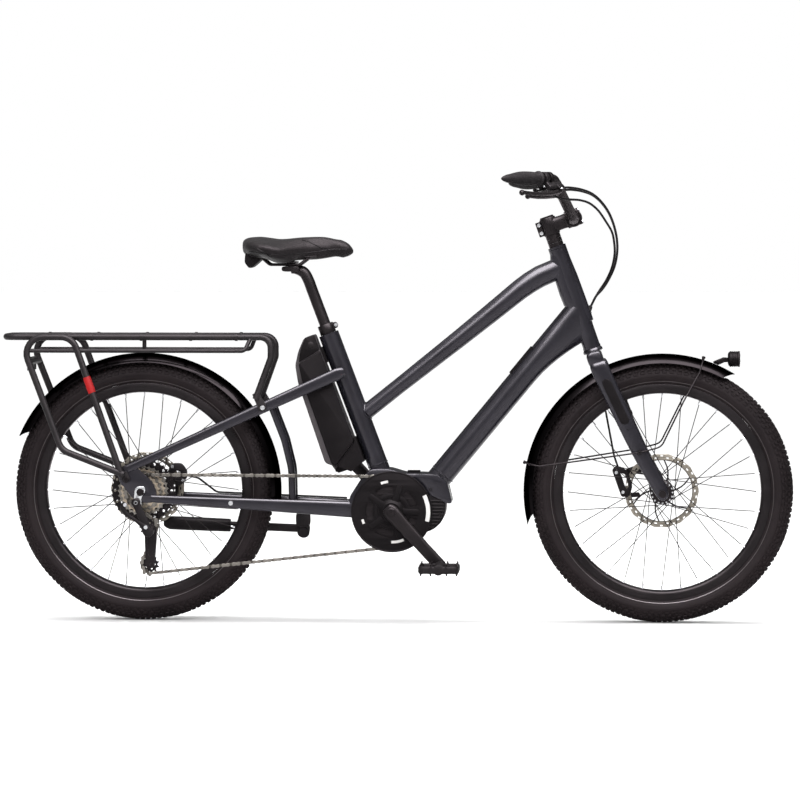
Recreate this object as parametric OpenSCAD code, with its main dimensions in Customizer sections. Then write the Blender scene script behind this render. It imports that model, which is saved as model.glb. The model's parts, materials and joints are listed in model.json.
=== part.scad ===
// Electric cargo bicycle: mid motor, step-through frame, 24-inch wheels and a long rear rack.
// Millimetres. +X points forward, +Y to the rider's left, +Z up.
// The origin lies on the ground, at the middle of the length.

/* [Wheels] */
// Distance between the two axles
wheelbase = 1255; // [1225:5:1300]
// Outer diameter of a tyre
tyre_d = 631; // [621:1:641]
// Width of a tyre
tyre_w = 60; // [54:1:62]
// Wall of a tyre
tyre_wall = 4; // [3:0.5:6]
// Diameter inside the rim
rim_in_d = 476; // [466:2:482]
// Width of a rim
rim_w = 34; // [30:1:36]
// Spokes in a wheel
spoke_count = 32; // [32, 36]
// Diameter of a spoke
spoke_d = 2; // [1.8:0.2:2.6]
// Diameter of a hub flange
flange_d = 58; // [52:1:64]
// Diameter of a wheel axle
axle_d = 12; // [10:1:15]
// Diameter of a brake rotor
rotor_d = 180; // [160:5:185]

/* [Frame] */
// Rack tail to rear axle
tail_len = 339; // [325:1:360]
// Rear axle to crank axle
chainstay_len = 605; // [595:5:620]
// Crank axle below the wheel axles
crank_drop = 47; // [40:1:52]
// Seat tube angle
seat_angle = 69.3; // [68:0.1:71]
// Diameter of the seat tube
seat_tube_d = 49; // [46:1:52]
// Length of the seat tube
seat_tube_len = 360; // [340:5:380]
// Head tube angle
head_angle = 70.7; // [69.5:0.1:72]
// Length of the head tube
head_len = 249; // [230:1:260]
// Diameter of the head tube
head_d = 44; // [42:1:48]
// Diameter of the down tube
down_d = 59; // [54:1:62]
// Diameter of the top tube
top_d = 38; // [34:1:42]
// Thickness of a stay
stay_t = 16; // [12:1:17]
// Thickness of a dropout plate
dropout_t = 8; // [6:1:10]
// Space between the rear dropouts
rear_gap = 142.4; // [142.4:0.2:144]

/* [Fork and bar] */
// Axle ahead of the steering axis
fork_rake = 45; // [40:1:50]
// Fork axle to the crown race, along the steering axis
fork_len = 383; // [376:1:395]
// Thickness of a fork blade
blade_t = 26; // [20:1:30]
// Space between the fork ends
front_gap = 100.4; // [100.4:0.2:104]
// Diameter of the steerer
steerer_d = 28.6; // [26:0.2:30]
// Height of the spacers under the stem
spacer_h = 30; // [20:1:35]
// Reach of the stem
stem_len = 60; // [56:1:66]
// Diameter of the bar in the stem
bar_clamp_d = 31.8; // [30:0.2:33]
// Diameter of the bar in the grips
bar_d = 22.2; // [21:0.2:24]
// Half width of the bar
bar_half_w = 331; // [315:1:345]
// Height of the bar above the stem
bar_rise = 101; // [90:1:110]
// Space for the controls between the bend of the bar and a grip
control_space = 54.75; // [52:0.25:62]
// Diameter of a grip
grip_d = 31; // [28:0.5:34]

/* [Drive] */
// Diameter of the chain line on the chainring
ring_d = 170; // [160:2:174]
// Diameter of the chain guard
guard_d = 196; // [186:1:204]
// Diameter of the chain line on the sprocket in use
sprocket_d = 80; // [72:2:88]
// Diameter of the largest sprocket
cassette_d = 158; // [150:2:164]
// Diameter of the chain line on a guide wheel
pulley_d = 44; // [40:1:48]
// Length of a crank
crank_len = 175; // [165:5:180]
// Angle of the right crank below level
crank_angle = 47.5; // [40:0.5:55]
// Chain to the middle plane
chain_line = 50; // [49:0.5:51]
// Length of a pedal
pedal_len = 98; // [90:1:104]
// Width of a pedal
pedal_w = 94; // [84:1:100]

/* [Seat and battery] */
// Diameter of the seatpost
post_d = 27.2; // [25:0.2:31]
// Width of the saddle
saddle_w = 180; // [160:2:200]
// Length of the saddle
saddle_len = 258; // [240:2:270]
// Width of the battery
battery_w = 84; // [76:1:86]
// Depth of the battery
battery_depth = 85; // [76:1:90]
// Length of the battery
battery_len = 301; // [285:1:315]

/* [Rack and fenders] */
// Height of the rack deck
deck_z = 689; // [680:1:700]
// Width between the deck rails
deck_w = 120; // [110:2:130]
// Diameter of a rack tube
rack_d = 16; // [14:1:18]
// Diameter of a pannier rail
rail_d = 10; // [8:1:12]
// Gap between a tyre and the crown of its fender
fender_gap = 18.5; // [16:0.5:24]
// Width of a fender
fender_w = 70; // [68:1:74]
// Thickness of a fender
fender_t = 2; // [1.5:0.25:3]

/* [Hidden] */
$fn = 64;
RUN = 0.05; // running clearance of a shaft in its bore, on the radius
SEAT = 0.1; // clearance of a fixed piece on its seat
FREE = 0.3; // clearance between curved faces of pieces that pass each other

PAINT = "#45424b";
BLACK = "#1d1c1f";
DARK = "#2c2a2e";
STEEL = "#b9bbbe";

// Places along the bicycle, as [x, z] in the middle plane
axle_z = tyre_d / 2;
rear_x = -(tail_len + wheelbase + axle_z) / 2 + tail_len;
front_x = rear_x + wheelbase;
rear = [rear_x, axle_z];
front = [front_x, axle_z];
crank = [rear_x + chainstay_len, axle_z - crank_drop];

// Seat tube line: s runs up the tube from its foot, u runs back from its axis
seat_foot = crank + [-29, 91];
seat_up = [-cos(seat_angle), sin(seat_angle)];
seat_back = [-sin(seat_angle), -cos(seat_angle)];
function on_seat(u, s) = seat_foot + u * seat_back + s * seat_up;

// Steering line: s runs up the axis from the foot of the front axle, u runs forward from the axis
head_up = [-cos(head_angle), sin(head_angle)];
head_fwd = [sin(head_angle), cos(head_angle)];
head_foot = front - fork_rake * head_fwd;
function on_head(u, s) = head_foot + u * head_fwd + s * head_up;

head_gap = 5;
head_low = fork_len + head_gap;
head_top = head_low + head_len;
stem_h = 42;
cup_h = 6;
stem_low = head_top + cup_h + spacer_h;
stem_mid = stem_low + stem_h / 2;

function flip(p, y) = [p.x, y, p.y];
function unit(v) = v / norm(v);

// Helpers

// A plate in the X-Z plane between two values of y
module side_plate(points, y0, y1) {
    translate([0, y1, 0])
        rotate([90, 0, 0])
            linear_extrude(y1 - y0) polygon(points);
}

// A round bar between two points
module rod(a, b, r, r2 = undef) {
    d = b - a;
    translate(a)
        rotate([0, acos(d.z / norm(d)), atan2(d.y, d.x)])
            cylinder(h = norm(d), r1 = r, r2 = is_undef(r2) ? r : r2);
}

// A round bar across the bicycle at a place in the middle plane
module cross_rod(p, y0, y1, r) {
    translate([p.x, y1, p.y])
        rotate([90, 0, 0])
            cylinder(h = y1 - y0, r = r);
}

// Length that a bend takes from each run of a bent tube
function bend_cut(points, i, bend) =
    let (a = unit(points[i] - points[i - 1]), b = unit(points[i + 1] - points[i]))
    bend * tan(acos(min(1, a * b)) / 2);

// A round tube along straight runs, with a round bend of one radius at each corner.
// The runs reach a little way into the bends, which are a hair wider.
bend_lap = 1;
bend_step = 0.1;
module bent_tube(points, r, bend) {
    last = len(points) - 1;
    for (i = [0 : last - 1]) {
        d = unit(points[i + 1] - points[i]);
        from = i == 0 ? points[0] : points[i] + d * (bend_cut(points, i, bend) - bend_lap);
        to = i == last - 1 ? points[last] : points[i + 1] - d * (bend_cut(points, i + 1, bend) - bend_lap);
        rod(from, to, r);
    }
    for (i = [1 : 1 : last - 1]) {
        u = unit(points[i] - points[i - 1]);
        v = unit(points[i + 1] - points[i]);
        n = unit(v - (u * v) * u);
        w = cross(u, n);
        c = points[i] - u * bend_cut(points, i, bend) + n * bend;
        multmatrix([
            [-n.x, u.x, w.x, c.x],
            [-n.y, u.y, w.y, c.y],
            [-n.z, u.z, w.z, c.z],
            [0, 0, 0, 1]
        ])
            rotate_extrude(angle = acos(u * v)) translate([bend, 0]) circle(r + bend_step);
    }
}

// A flat stay that tapers in height and runs from [x, z] at y0 to [x, z] at y1
module stay(p0, y0, h0, p1, y1, h1, t) {
    d = [p1.x - p0.x, y1 - y0];
    translate([p0.x, y0, 0])
        rotate([0, 0, atan2(d.y, d.x)])
            side_plate([
                [0, p0.y - h0 / 2], [norm(d), p1.y - h1 / 2],
                [norm(d), p1.y + h1 / 2], [0, p0.y + h0 / 2]
            ], -t / 2, t / 2);
}

// Draws its children on the left and mirrored on the right
module both_sides() {
    children();
    mirror([0, 1, 0]) children();
}

// Wheel space: local x forward, local y up, local z to the right
module at_wheel(p, y = 0) {
    translate([p.x, y, p.y]) rotate([90, 0, 0]) children();
}

// A washer round the local z axis between two heights
module washer(r_out, r_in, z0, z1) {
    translate([0, 0, z0])
        difference() {
            cylinder(h = z1 - z0, r = r_out);
            translate([0, 0, -1]) cylinder(h = z1 - z0 + 2, r = r_in);
        }
}

// Steering space: local x forward from the steering axis, local z up along it
module at_steering() {
    translate(flip(head_foot, 0)) rotate([0, head_angle - 90, 0]) children();
}

// Tubes that follow a list of points, as one closed skin
function tube_axes(points, i) =
    let (
        n = len(points) - 1,
        t = unit(points[min(i + 1, n)] - points[max(i - 1, 0)]),
        side = unit(cross(t, abs(t.y) < 0.9 ? [0, 1, 0] : [1, 0, 0]))
    ) [side, cross(t, side)];

module swept_tube(points, r, sides) {
    n = len(points);
    rings = [
        for (i = [0 : n - 1]) let (axes = tube_axes(points, i))
            for (k = [0 : sides - 1])
                points[i] + r * (cos(360 * k / sides) * axes[0] + sin(360 * k / sides) * axes[1])
    ];
    walls = [
        for (i = [0 : n - 2]) for (k = [0 : sides - 1])
            let (a = i * sides + k, b = i * sides + (k + 1) % sides)
            each [[a, b + sides, b], [a, a + sides, b + sides]]
    ];
    ends = [
        for (k = [1 : sides - 2])
            each [[0, k, k + 1], [(n - 1) * sides, (n - 1) * sides + k + 1, (n - 1) * sides + k]]
    ];
    polyhedron(points = rings, faces = concat(walls, ends));
}

// Frame

// Motor: a round body on the crank axle and a second one ahead of it
motor_r = 58;
motor_front = crank + [68, 10];
motor_front_r = 62;
motor_half = 42;
spindle_r = 12;
module motor_shape(gap, half) {
    cross_rod(crank, -half, half, motor_r + gap);
    cross_rod(motor_front, -half, half, motor_front_r + gap);
}

head_bore_r = head_d / 2 - 4;
port_at = on_head(31, 480);
port_dir = unit([0.45, 0.89]);
port_len = 28;
port_r = 10;
down_head = on_head(-20, head_low + 82);
down_foot = crank + [95, 58];
down_dir = unit(down_foot - down_head);
down_under = [-down_dir.y, down_dir.x];
top_foot = on_seat(0, 153);
top_head = on_head(-19, head_top - 47);
top_bend = top_head + [-87, -48];
cradle_half = 44;
cradle_top = 92;

stay_front = on_seat(18, 261);
stay_front_y = battery_w / 2 + stay_t / 2 + 1;
stay_rear = rear + [-32, 56];
stay_rear_y = rear_gap / 2 + dropout_t / 2;
function stay_at(t) = stay_front + t * (stay_rear - stay_front);
function stay_y(t) = stay_front_y + t * (stay_rear_y - stay_front_y);

chainstay_front = crank + [-100, 4];
chainstay_front_y = 36;
chainstay_rear = rear + [25, -16];
chainstay_h = 39;
chainstay_end_h = 18;
function chainstay_at(t) = chainstay_front + t * (chainstay_rear - chainstay_front);
function chainstay_y(t) = chainstay_front_y + t * (stay_rear_y - chainstay_front_y);
function chainstay_top(t) = chainstay_at(t).y + (chainstay_h + t * (chainstay_end_h - chainstay_h)) / 2;

dropout_in = rear_gap / 2;
dropout_out = dropout_in + dropout_t;
rack_bolt = rear + [-34, 30];
rack_stay_t = 0.345;
chainstay_bolt_t = 0.6;
bolt_r = 3;
brace_y = 30;
brace_r = 8.5;
brace_top = rear + [313, 204];
brace_low = rear + [363, -32];
bridge_r = 8;

module dropout() {
    outline = [
        [-50, 20], [-53, 46], [-42, 64], [-18, 67], [28, 26], [40, -6], [32, -26], [-2, -26], [-22, -14], [-38, 10]
    ];
    side_plate([for (p = outline) rear + p], dropout_in, dropout_out);
}

module motor_cradle() {
    outline = [
        [-104, 33], [-77, 76], [-53, 103], [-5, 103], [31, cradle_top], [73, cradle_top], [109, 90],
        [131, 72], [145, 20], [121, 24], [-104, -13]
    ];
    side_plate([for (p = outline) crank + p], -cradle_half, cradle_half);
}

// Fillet under the down tube where it meets the head tube
module head_gusset() {
    gusset_half = 18;
    side_plate([
        on_head(-5, head_low + 4), on_head(-38, head_low + 18), on_head(-75, head_low + 16),
        on_head(-104, head_low + 5), down_head + 170 * down_dir + (down_d / 2 - 1) * down_under,
        down_head + 170 * down_dir, down_head
    ], -gusset_half, gusset_half);
}

module frame() {
    color(PAINT)
        difference() {
            union() {
                rod(flip(on_head(0, head_low), 0), flip(on_head(0, head_top), 0), head_d / 2);
                rod(flip(port_at - port_len * port_dir, 0), flip(port_at, 0), port_r);
                rod(flip(down_head, 0), flip(down_foot, 0), down_d / 2);
                head_gusset();
                bent_tube([flip(top_foot, 0), flip(top_bend, 0), flip(top_head, 0)], top_d / 2, 160);
                rod(flip(on_seat(0, -20), 0), flip(on_seat(0, seat_tube_len), 0), seat_tube_d / 2);
                cross_rod(on_seat(12, 261), -stay_front_y, stay_front_y, 12);
                motor_cradle();
                cross_rod(brace_top, -stay_y(0.31), stay_y(0.31), bridge_r);
                cross_rod(brace_low, -chainstay_y(0.29), chainstay_y(0.29), bridge_r);
                both_sides() {
                    stay(stay_front, stay_front_y, 30, stay_rear, stay_rear_y, 20, stay_t);
                    stay(chainstay_front, chainstay_front_y, chainstay_h,
                        chainstay_rear, stay_rear_y, chainstay_end_h, stay_t);
                    dropout();
                    bent_tube([
                        flip(brace_top, brace_y), flip(rear + [344, 124], brace_y),
                        flip(rear + [361, 54], brace_y), flip(brace_low, brace_y)
                    ], brace_r, 140);
                }
            }
            rod(flip(on_head(0, head_low - 1), 0), flip(on_head(0, head_top + 1), 0), head_bore_r);
            rod(flip(on_seat(0, post_low - 70), 0), flip(on_seat(0, seat_tube_len + 1), 0), post_d / 2 + RUN);
            motor_shape(FREE, cradle_half + 20);
            cross_rod(rear, -dropout_out - 1, dropout_out + 1, axle_d / 2 + SEAT);
            cross_rod(rack_bolt, -dropout_out - 1, dropout_out + 1, bolt_r + SEAT);
            cross_rod(stay_at(rack_stay_t), -90, 90, bolt_r + SEAT);
            cross_rod(chainstay_at(chainstay_bolt_t), -90, 90, bolt_r + SEAT);
        }
}

// Headset: a flanged cup in each end of the head tube
module headset_cups() {
    cup_depth = 14;
    cup_bore = steerer_d / 2 + RUN;
    color(BLACK)
        at_steering() {
            washer(head_d / 2, cup_bore, head_top, head_top + cup_h);
            washer(head_bore_r - SEAT, cup_bore, head_top - cup_depth, head_top);
            washer(head_d / 2, cup_bore, fork_len + FREE, head_low);
            washer(head_bore_r - SEAT, cup_bore, head_low, head_low + cup_depth);
        }
}

module motor_housing() {
    color(BLACK)
        difference() {
            motor_shape(0, motor_half);
            cross_rod(crank, -motor_half - 1, motor_half + 1, spindle_r + RUN);
        }
}

// Left motor cover, cable cover on the down tube and cap on the cradle
module motor_covers() {
    cover_t = 6;
    cover_from = 118;
    cover_to = 200;
    cover_wall = 3;
    color(DARK) {
        difference() {
            union() {
                cross_rod(crank, motor_half + SEAT, motor_half + cover_t, motor_r - 12);
                cross_rod(motor_front, motor_half + SEAT, motor_half + cover_t, motor_front_r - 10);
            }
            cross_rod(crank, motor_half - 1, motor_half + cover_t + 1, spindle_r + RUN);
        }
        intersection() {
            difference() {
                rod(flip(down_head + cover_from * down_dir, 0), flip(down_head + cover_to * down_dir, 0),
                    down_d / 2 + cover_wall);
                rod(flip(down_head + (cover_from - 1) * down_dir, 0), flip(down_head + (cover_to + 1) * down_dir, 0),
                    down_d / 2 + SEAT);
            }
            side_plate([
                down_head + cover_from * down_dir - 20 * down_under,
                down_head + cover_to * down_dir - 20 * down_under,
                down_head + cover_to * down_dir - 50 * down_under,
                down_head + cover_from * down_dir - 50 * down_under
            ], -15, 15);
        }
        translate([crank.x + 36, -12, crank.y + cradle_top + SEAT]) cube([30, 24, 5]);
    }
}

// Battery, its holder and its lock

battery_u = seat_tube_d / 2 + 6.5;
battery_low = 70;
battery_top = battery_low + battery_len;
battery_end = battery_u + battery_depth;
battery_pivot = on_seat(battery_u + 64, 43);
battery_ear_in = 10;
battery_ear_out = 16;
battery_pin_r = 3;

module battery_case() {
    lug_half = battery_ear_in - 0.5;
    lug_r = 7;
    outline = [
        [battery_u, battery_top], [battery_u + 26, battery_top], [battery_end - 35, battery_top - 25],
        [battery_end - 16, battery_top - 54], [battery_end - 7, battery_top - 97], [battery_end, battery_low],
        [battery_end - 20, battery_low - 16], [battery_u, battery_low + 25]
    ];
    lug = [[60, 43], [70, 43], [75, 62], [60, 64]];
    color(BLACK)
        difference() {
            union() {
                side_plate([for (p = outline) on_seat(p.x, p.y)], -battery_w / 2, battery_w / 2);
                side_plate([for (p = lug) on_seat(battery_u + p.x, p.y)], -lug_half, lug_half);
                cross_rod(battery_pivot, -lug_half, lug_half, lug_r);
            }
            cross_rod(battery_pivot, -lug_half - 1, lug_half + 1, battery_pin_r + RUN);
        }
}

module battery_holder() {
    seat_face = seat_tube_d / 2 + SEAT;
    holder_half = battery_w / 2 - 6;
    base = [
        [seat_face, 104], [battery_u - 0.5, 104], [battery_u - 0.5, 94.4], [battery_u + 57, 58],
        [battery_u + 57, 50], [battery_u + 33, 29], [seat_face, 42]
    ];
    ear = [[39, 35], [47, 49], [64, 50], [71, 43], [64, 36]];
    lock = [[seat_face, 296], [battery_u - 0.5, 296], [battery_u - 0.5, 336], [seat_face, 336]];
    color(DARK) {
        side_plate([for (p = base) on_seat(p.x, p.y)], -holder_half, holder_half);
        both_sides()
            side_plate([for (p = ear) on_seat(battery_u + p.x, p.y)], battery_ear_in, battery_ear_out);
        cross_rod(battery_pivot, -battery_ear_out, battery_ear_out, battery_pin_r);
        side_plate([for (p = lock) on_seat(p.x, p.y)], -14, 14);
    }
}

// Seat

post_low = 190;
post_top = 524;
clamp_mid = on_seat(29.5, 539);
rail_r = 3.5;
rail_y = 22;
rail_z = clamp_mid.y + 10;

module seat_clamp() {
    clamp_r = post_d / 2 + 6;
    clamp_h = 24;
    color(BLACK)
        translate(flip(on_seat(0, seat_tube_len), 0))
            rotate([0, seat_angle - 90, 0])
                difference() {
                    union() {
                        translate([0, 0, SEAT]) cylinder(h = clamp_h, r = clamp_r);
                        translate([post_d / 2 + 2, -10, 4]) cube([14, 20, clamp_h - 4]);
                    }
                    cylinder(h = clamp_h + 1, r = post_d / 2 + RUN);
                    translate([post_d / 2 - 2, -1, -1]) cube([20, 2, clamp_h + 2]);
                }
}

module seatpost() {
    head_half = 28;
    color(BLACK) {
        rod(flip(on_seat(0, post_low), 0), flip(on_seat(0, post_top), 0), post_d / 2);
        rod(flip(on_seat(0, post_top - 6), 0), flip(clamp_mid - [0, 6], 0), post_d / 2 - 2);
        translate([clamp_mid.x - 21, -head_half, clamp_mid.y - 7])
            cube([42, 2 * head_half, 17 - rail_r - SEAT]);
        translate([clamp_mid.x - 17, -head_half, rail_z + rail_r + SEAT])
            cube([34, 2 * head_half, 5]);
        rod(flip(clamp_mid, 0), flip([clamp_mid.x, rail_z + rail_r + 9], 0), 4);
    }
}

module saddle_rails() {
    color(DARK) {
        both_sides()
            bent_tube([
                [clamp_mid.x - 80, rail_y, rail_z + 8], [clamp_mid.x - 54, rail_y, rail_z + 8],
                [clamp_mid.x - 34, rail_y, rail_z], [clamp_mid.x + 32, rail_y, rail_z],
                [clamp_mid.x + 108, 14, rail_z + 20.4]
            ], rail_r, 12);
        translate([clamp_mid.x - 104, -32, clamp_mid.y + 6]) cube([34, 64, 23]);
    }
}

// Saddle: rings along its length, each with a crown on top and drawn-in sides below
saddle_tail = clamp_mid.x - saddle_len * 0.4;
saddle_stations = 22;
saddle_sides = 28;
function saddle_half(f) = saddle_w / 2 * lookup(f, [
    [0, 0.3], [0.05, 0.66], [0.12, 0.9], [0.2, 1], [0.32, 0.92], [0.45, 0.66], [0.58, 0.42], [0.72, 0.3],
    [0.86, 0.25], [0.96, 0.19], [1, 0.09]
]);
function saddle_top(f) = clamp_mid.y + lookup(f, [
    [0, 70], [0.05, 77], [0.16, 71], [0.31, 65], [0.49, 70], [0.68, 72], [0.87, 68], [0.96, 58], [1, 46]
]);
function saddle_low(f) = clamp_mid.y + lookup(f, [
    [0, 38], [0.06, 31], [0.15, 29.5], [0.31, 22], [0.49, 27], [0.65, 28], [0.82, 35], [0.96, 38], [1, 40]
]);
function saddle_point(f, a) =
    let (
        skirt = saddle_low(f) + 0.35 * (saddle_top(f) - saddle_low(f)),
        lift = pow(abs(sin(a)), 0.7),
        draw = sin(a) < 0 ? 1 - 0.25 * lift : 1
    )
    [
        saddle_tail + f * saddle_len,
        saddle_half(f) * draw * sign(cos(a)) * pow(abs(cos(a)), 0.8),
        sin(a) < 0 ? skirt - lift * (skirt - saddle_low(f)) : skirt + lift * (saddle_top(f) - skirt)
    ];

module saddle() {
    n = saddle_stations;
    m = saddle_sides;
    points = [
        for (i = [0 : n]) for (k = [0 : m - 1]) saddle_point((1 - cos(180 * i / n)) / 2, 360 * k / m)
    ];
    walls = [
        for (i = [0 : n - 1]) for (k = [0 : m - 1])
            let (a = i * m + k, b = i * m + (k + 1) % m)
            each [[a, b + m, b], [a, a + m, b + m]]
    ];
    ends = [for (k = [1 : m - 2]) each [[0, k, k + 1], [n * m, n * m + k + 1, n * m + k]]];
    color(BLACK) polyhedron(points = points, faces = concat(walls, ends));
}

// Fork, stem and bar, drawn in steering space

blade_in = front_gap / 2;
blade_out = blade_in + blade_t;
crown_low = fork_len - 43;
crown_top = fork_len - 5;
boss_u = 18;
boss_s = 173;
boss_r = 2.5;
boss_depth = 12;
eyelet_u = 26;
eyelet_s = 112;
eyelet_h = 5;

module fork() {
    blade = [
        [-21, crown_top], [24, crown_top], [25, 328], [fork_rake + 1, 108], [fork_rake + 17, 10],
        [fork_rake + 13, -12], [fork_rake, -18], [fork_rake - 13, -12], [fork_rake - 18, 8],
        [fork_rake - 39, 119], [-20, 333]
    ];
    crown = [[-21, crown_low], [24, crown_low], [22, crown_top], [-19, crown_top]];
    color(PAINT)
        at_steering()
            difference() {
                union() {
                    both_sides() {
                        side_plate(blade, blade_in, blade_out);
                        cross_rod([eyelet_u, eyelet_s], blade_out - 1, blade_out + eyelet_h, 6);
                    }
                    side_plate(crown, -blade_in - 1, blade_in + 1);
                    translate([0, 0, crown_low + 5])
                        cylinder(h = stem_low + stem_h - crown_low - 6, r = steerer_d / 2);
                    translate([0, 0, crown_top - 1]) cylinder(h = fork_len - crown_top + 1, r = 21);
                }
                cross_rod([fork_rake, 0], -blade_out - 1, blade_out + 1, axle_d / 2 + SEAT);
                both_sides() cross_rod([boss_u, boss_s], blade_out - boss_depth, blade_out + 1, boss_r);
            }
}

clamp_half = 24;
clamp_wall = 6;
clamp_split = 1;
clamp_r = bar_clamp_d / 2 + clamp_wall;
stem_r = steerer_d / 2 + 5.5;
pinch_u = -24;
pinch_ss = [stem_mid - 10, stem_mid + 10];
pinch_half = 10;
face_bolts = [for (y = [-16, 16]) for (s = [-15, 15]) [y, stem_mid + s]];
face_boss = 19;
face_boss_r = 5;

// Bar clamp ring, cut to one side of its split
module bar_clamp(front_side) {
    intersection() {
        union() {
            cross_rod([stem_len, stem_mid], -clamp_half, clamp_half, clamp_r);
            for (b = face_bolts)
                rod([stem_len - face_boss, b.x, b.y], [stem_len + face_boss, b.x, b.y], face_boss_r);
        }
        translate([front_side ? stem_len + clamp_split : -100, -50, stem_mid - 50])
            cube([front_side ? 100 : stem_len + 100, 100, 100]);
    }
}

module stem() {
    color(BLACK)
        at_steering()
            difference() {
                union() {
                    translate([0, 0, stem_low]) cylinder(h = stem_h, r = stem_r);
                    translate([pinch_u - 7, -pinch_half, stem_low + 2]) cube([20, 2 * pinch_half, stem_h - 4]);
                    rod([5, 0, stem_mid], [stem_len - 5, 0, stem_mid], 17);
                    bar_clamp(false);
                    bar_clamp(true);
                }
                translate([0, 0, stem_low - 1]) cylinder(h = stem_h + 2, r = steerer_d / 2 + SEAT);
                cross_rod([stem_len, stem_mid], -clamp_half - 1, clamp_half + 1, bar_clamp_d / 2 + SEAT);
                translate([stem_len, -clamp_half - 1, stem_mid - 50]) cube([clamp_split, 2 * clamp_half + 2, 100]);
                translate([pinch_u - 8, -1, stem_low - 1]) cube([18, 2, stem_h + 2]);
                for (s = pinch_ss) cross_rod([pinch_u, s], -pinch_half - 1, pinch_half + 1, 2.5 + SEAT);
            }
}

// Spacers, top cap, pinch bolts and faceplate bolts
module stem_hardware() {
    spacers = 3;
    color(STEEL)
        at_steering() {
            for (i = [0 : spacers - 1])
                washer(18, steerer_d / 2 + SEAT,
                    head_top + cup_h + i * spacer_h / spacers + SEAT / 2,
                    head_top + cup_h + (i + 1) * spacer_h / spacers - SEAT / 2);
            translate([0, 0, stem_low + stem_h + SEAT]) cylinder(h = 4, r = 17);
            for (s = pinch_ss) {
                cross_rod([pinch_u, s], -pinch_half - SEAT, pinch_half, 2.5);
                cross_rod([pinch_u, s], -pinch_half - 5, -pinch_half - SEAT, 4.5);
            }
            for (b = face_bolts)
                rod([stem_len + face_boss + SEAT, b.x, b.y], [stem_len + face_boss + 5, b.x, b.y], 4);
        }
}

bar_mid = [stem_len, 0, stem_mid];
bar_knee = [stem_len, 45, stem_mid];
bar_turn = [stem_len - 12, 187, stem_mid + bar_rise];
bar_tip = [stem_len - 122, bar_half_w, stem_mid + bar_rise + 36];
bar_bend = 36;

module handlebar() {
    riser = unit(bar_turn - bar_knee);
    color(BLACK)
        at_steering() {
            both_sides() {
                bent_tube([bar_mid, bar_knee, bar_turn, bar_tip], bar_d / 2, bar_bend);
                rod(bar_knee + 14 * riser, bar_turn - 22 * riser, bar_d / 2 + 1.4);
            }
            cross_rod([stem_len, stem_mid], -clamp_half - 4, clamp_half + 4, bar_clamp_d / 2);
        }
}

// Grip space: local z runs out along the grip from the bend of the bar, local x points to the brake lever
grip_axis = unit(bar_tip - bar_turn);
grip_to_lever = [0.3, 0.3, -0.9];
grip_x = unit(grip_to_lever - (grip_to_lever * grip_axis) * grip_axis);
grip_y = cross(grip_axis, grip_x);
grip_end = norm(bar_tip - bar_turn);
grip_len = grip_end - control_space;

module at_grip(right) {
    at_steering()
        mirror([0, right ? 1 : 0, 0])
            multmatrix([
                [grip_x.x, grip_y.x, grip_axis.x, bar_turn.x],
                [grip_x.y, grip_y.y, grip_axis.y, bar_turn.y],
                [grip_x.z, grip_y.z, grip_axis.z, bar_turn.z],
                [0, 0, 0, 1]
            ])
                children();
}

module grips() {
    flange_h = 4;
    color(DARK)
        for (right = [false, true])
            at_grip(right)
                difference() {
                    union() {
                        translate([0, 0, grip_end - grip_len]) cylinder(h = flange_h, r = grip_d / 2 + 2.5);
                        translate([0, 0, grip_end - grip_len + flange_h])
                            cylinder(h = grip_len - flange_h - 14, r = grip_d / 2);
                        translate([0, 0, grip_end - 10 - SEAT]) cylinder(h = 14, r1 = grip_d / 2, r2 = grip_d / 3);
                    }
                    translate([0, 0, grip_end - grip_len - 1]) cylinder(h = grip_len + 1.2, r = bar_d / 2 + SEAT);
                }
}

clip_r = bar_d / 2 + 5;
brake_clip = [31, 44];
pod_clip = [15, 25];
lever_pivot = [38, 8];
lever_pin_r = 3;
lever_half = 6;
ear_t = 3.5;
cylinder_x = 28;
cylinder_r = 9;
cylinder_end = -14;
cylinder_len = 58;

// A band round the bar, with what it carries; the bar's bore is cut through both
module bar_band(z0, z1) {
    difference() {
        union() {
            translate([0, 0, z0]) cylinder(h = z1 - z0, r = clip_r);
            children();
        }
        translate([0, 0, -20]) cylinder(h = 80, r = bar_d / 2 + SEAT);
    }
}

module brake_bodies() {
    color(BLACK)
        for (right = [false, true])
            at_grip(right) {
                bar_band(brake_clip[0], brake_clip[1])
                    translate([bar_d / 2 + 2, -6, brake_clip[0]]) cube([14, 12, brake_clip[1] - brake_clip[0]]);
                difference() {
                    translate([cylinder_x, 0, cylinder_end]) cylinder(h = cylinder_len, r = cylinder_r);
                    translate([lever_pivot.x - 9, -lever_half - FREE, lever_pivot.y - 11])
                        cube([30, 2 * (lever_half + FREE), cylinder_end + cylinder_len - lever_pivot.y + 12]);
                }
                for (side = [-1, 1])
                    translate([lever_pivot.x, side * (lever_half + FREE + ear_t / 2), lever_pivot.y])
                        rotate([90, 0, 0]) {
                            cylinder(h = ear_t, r = 7, center = true);
                            translate([-8, 0, 0]) cube([12, 10, ear_t], center = true);
                        }
                translate([lever_pivot.x, 0, lever_pivot.y])
                    rotate([90, 0, 0])
                        cylinder(h = 2 * (lever_half + FREE + ear_t), r = lever_pin_r, center = true);
            }
}

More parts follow.
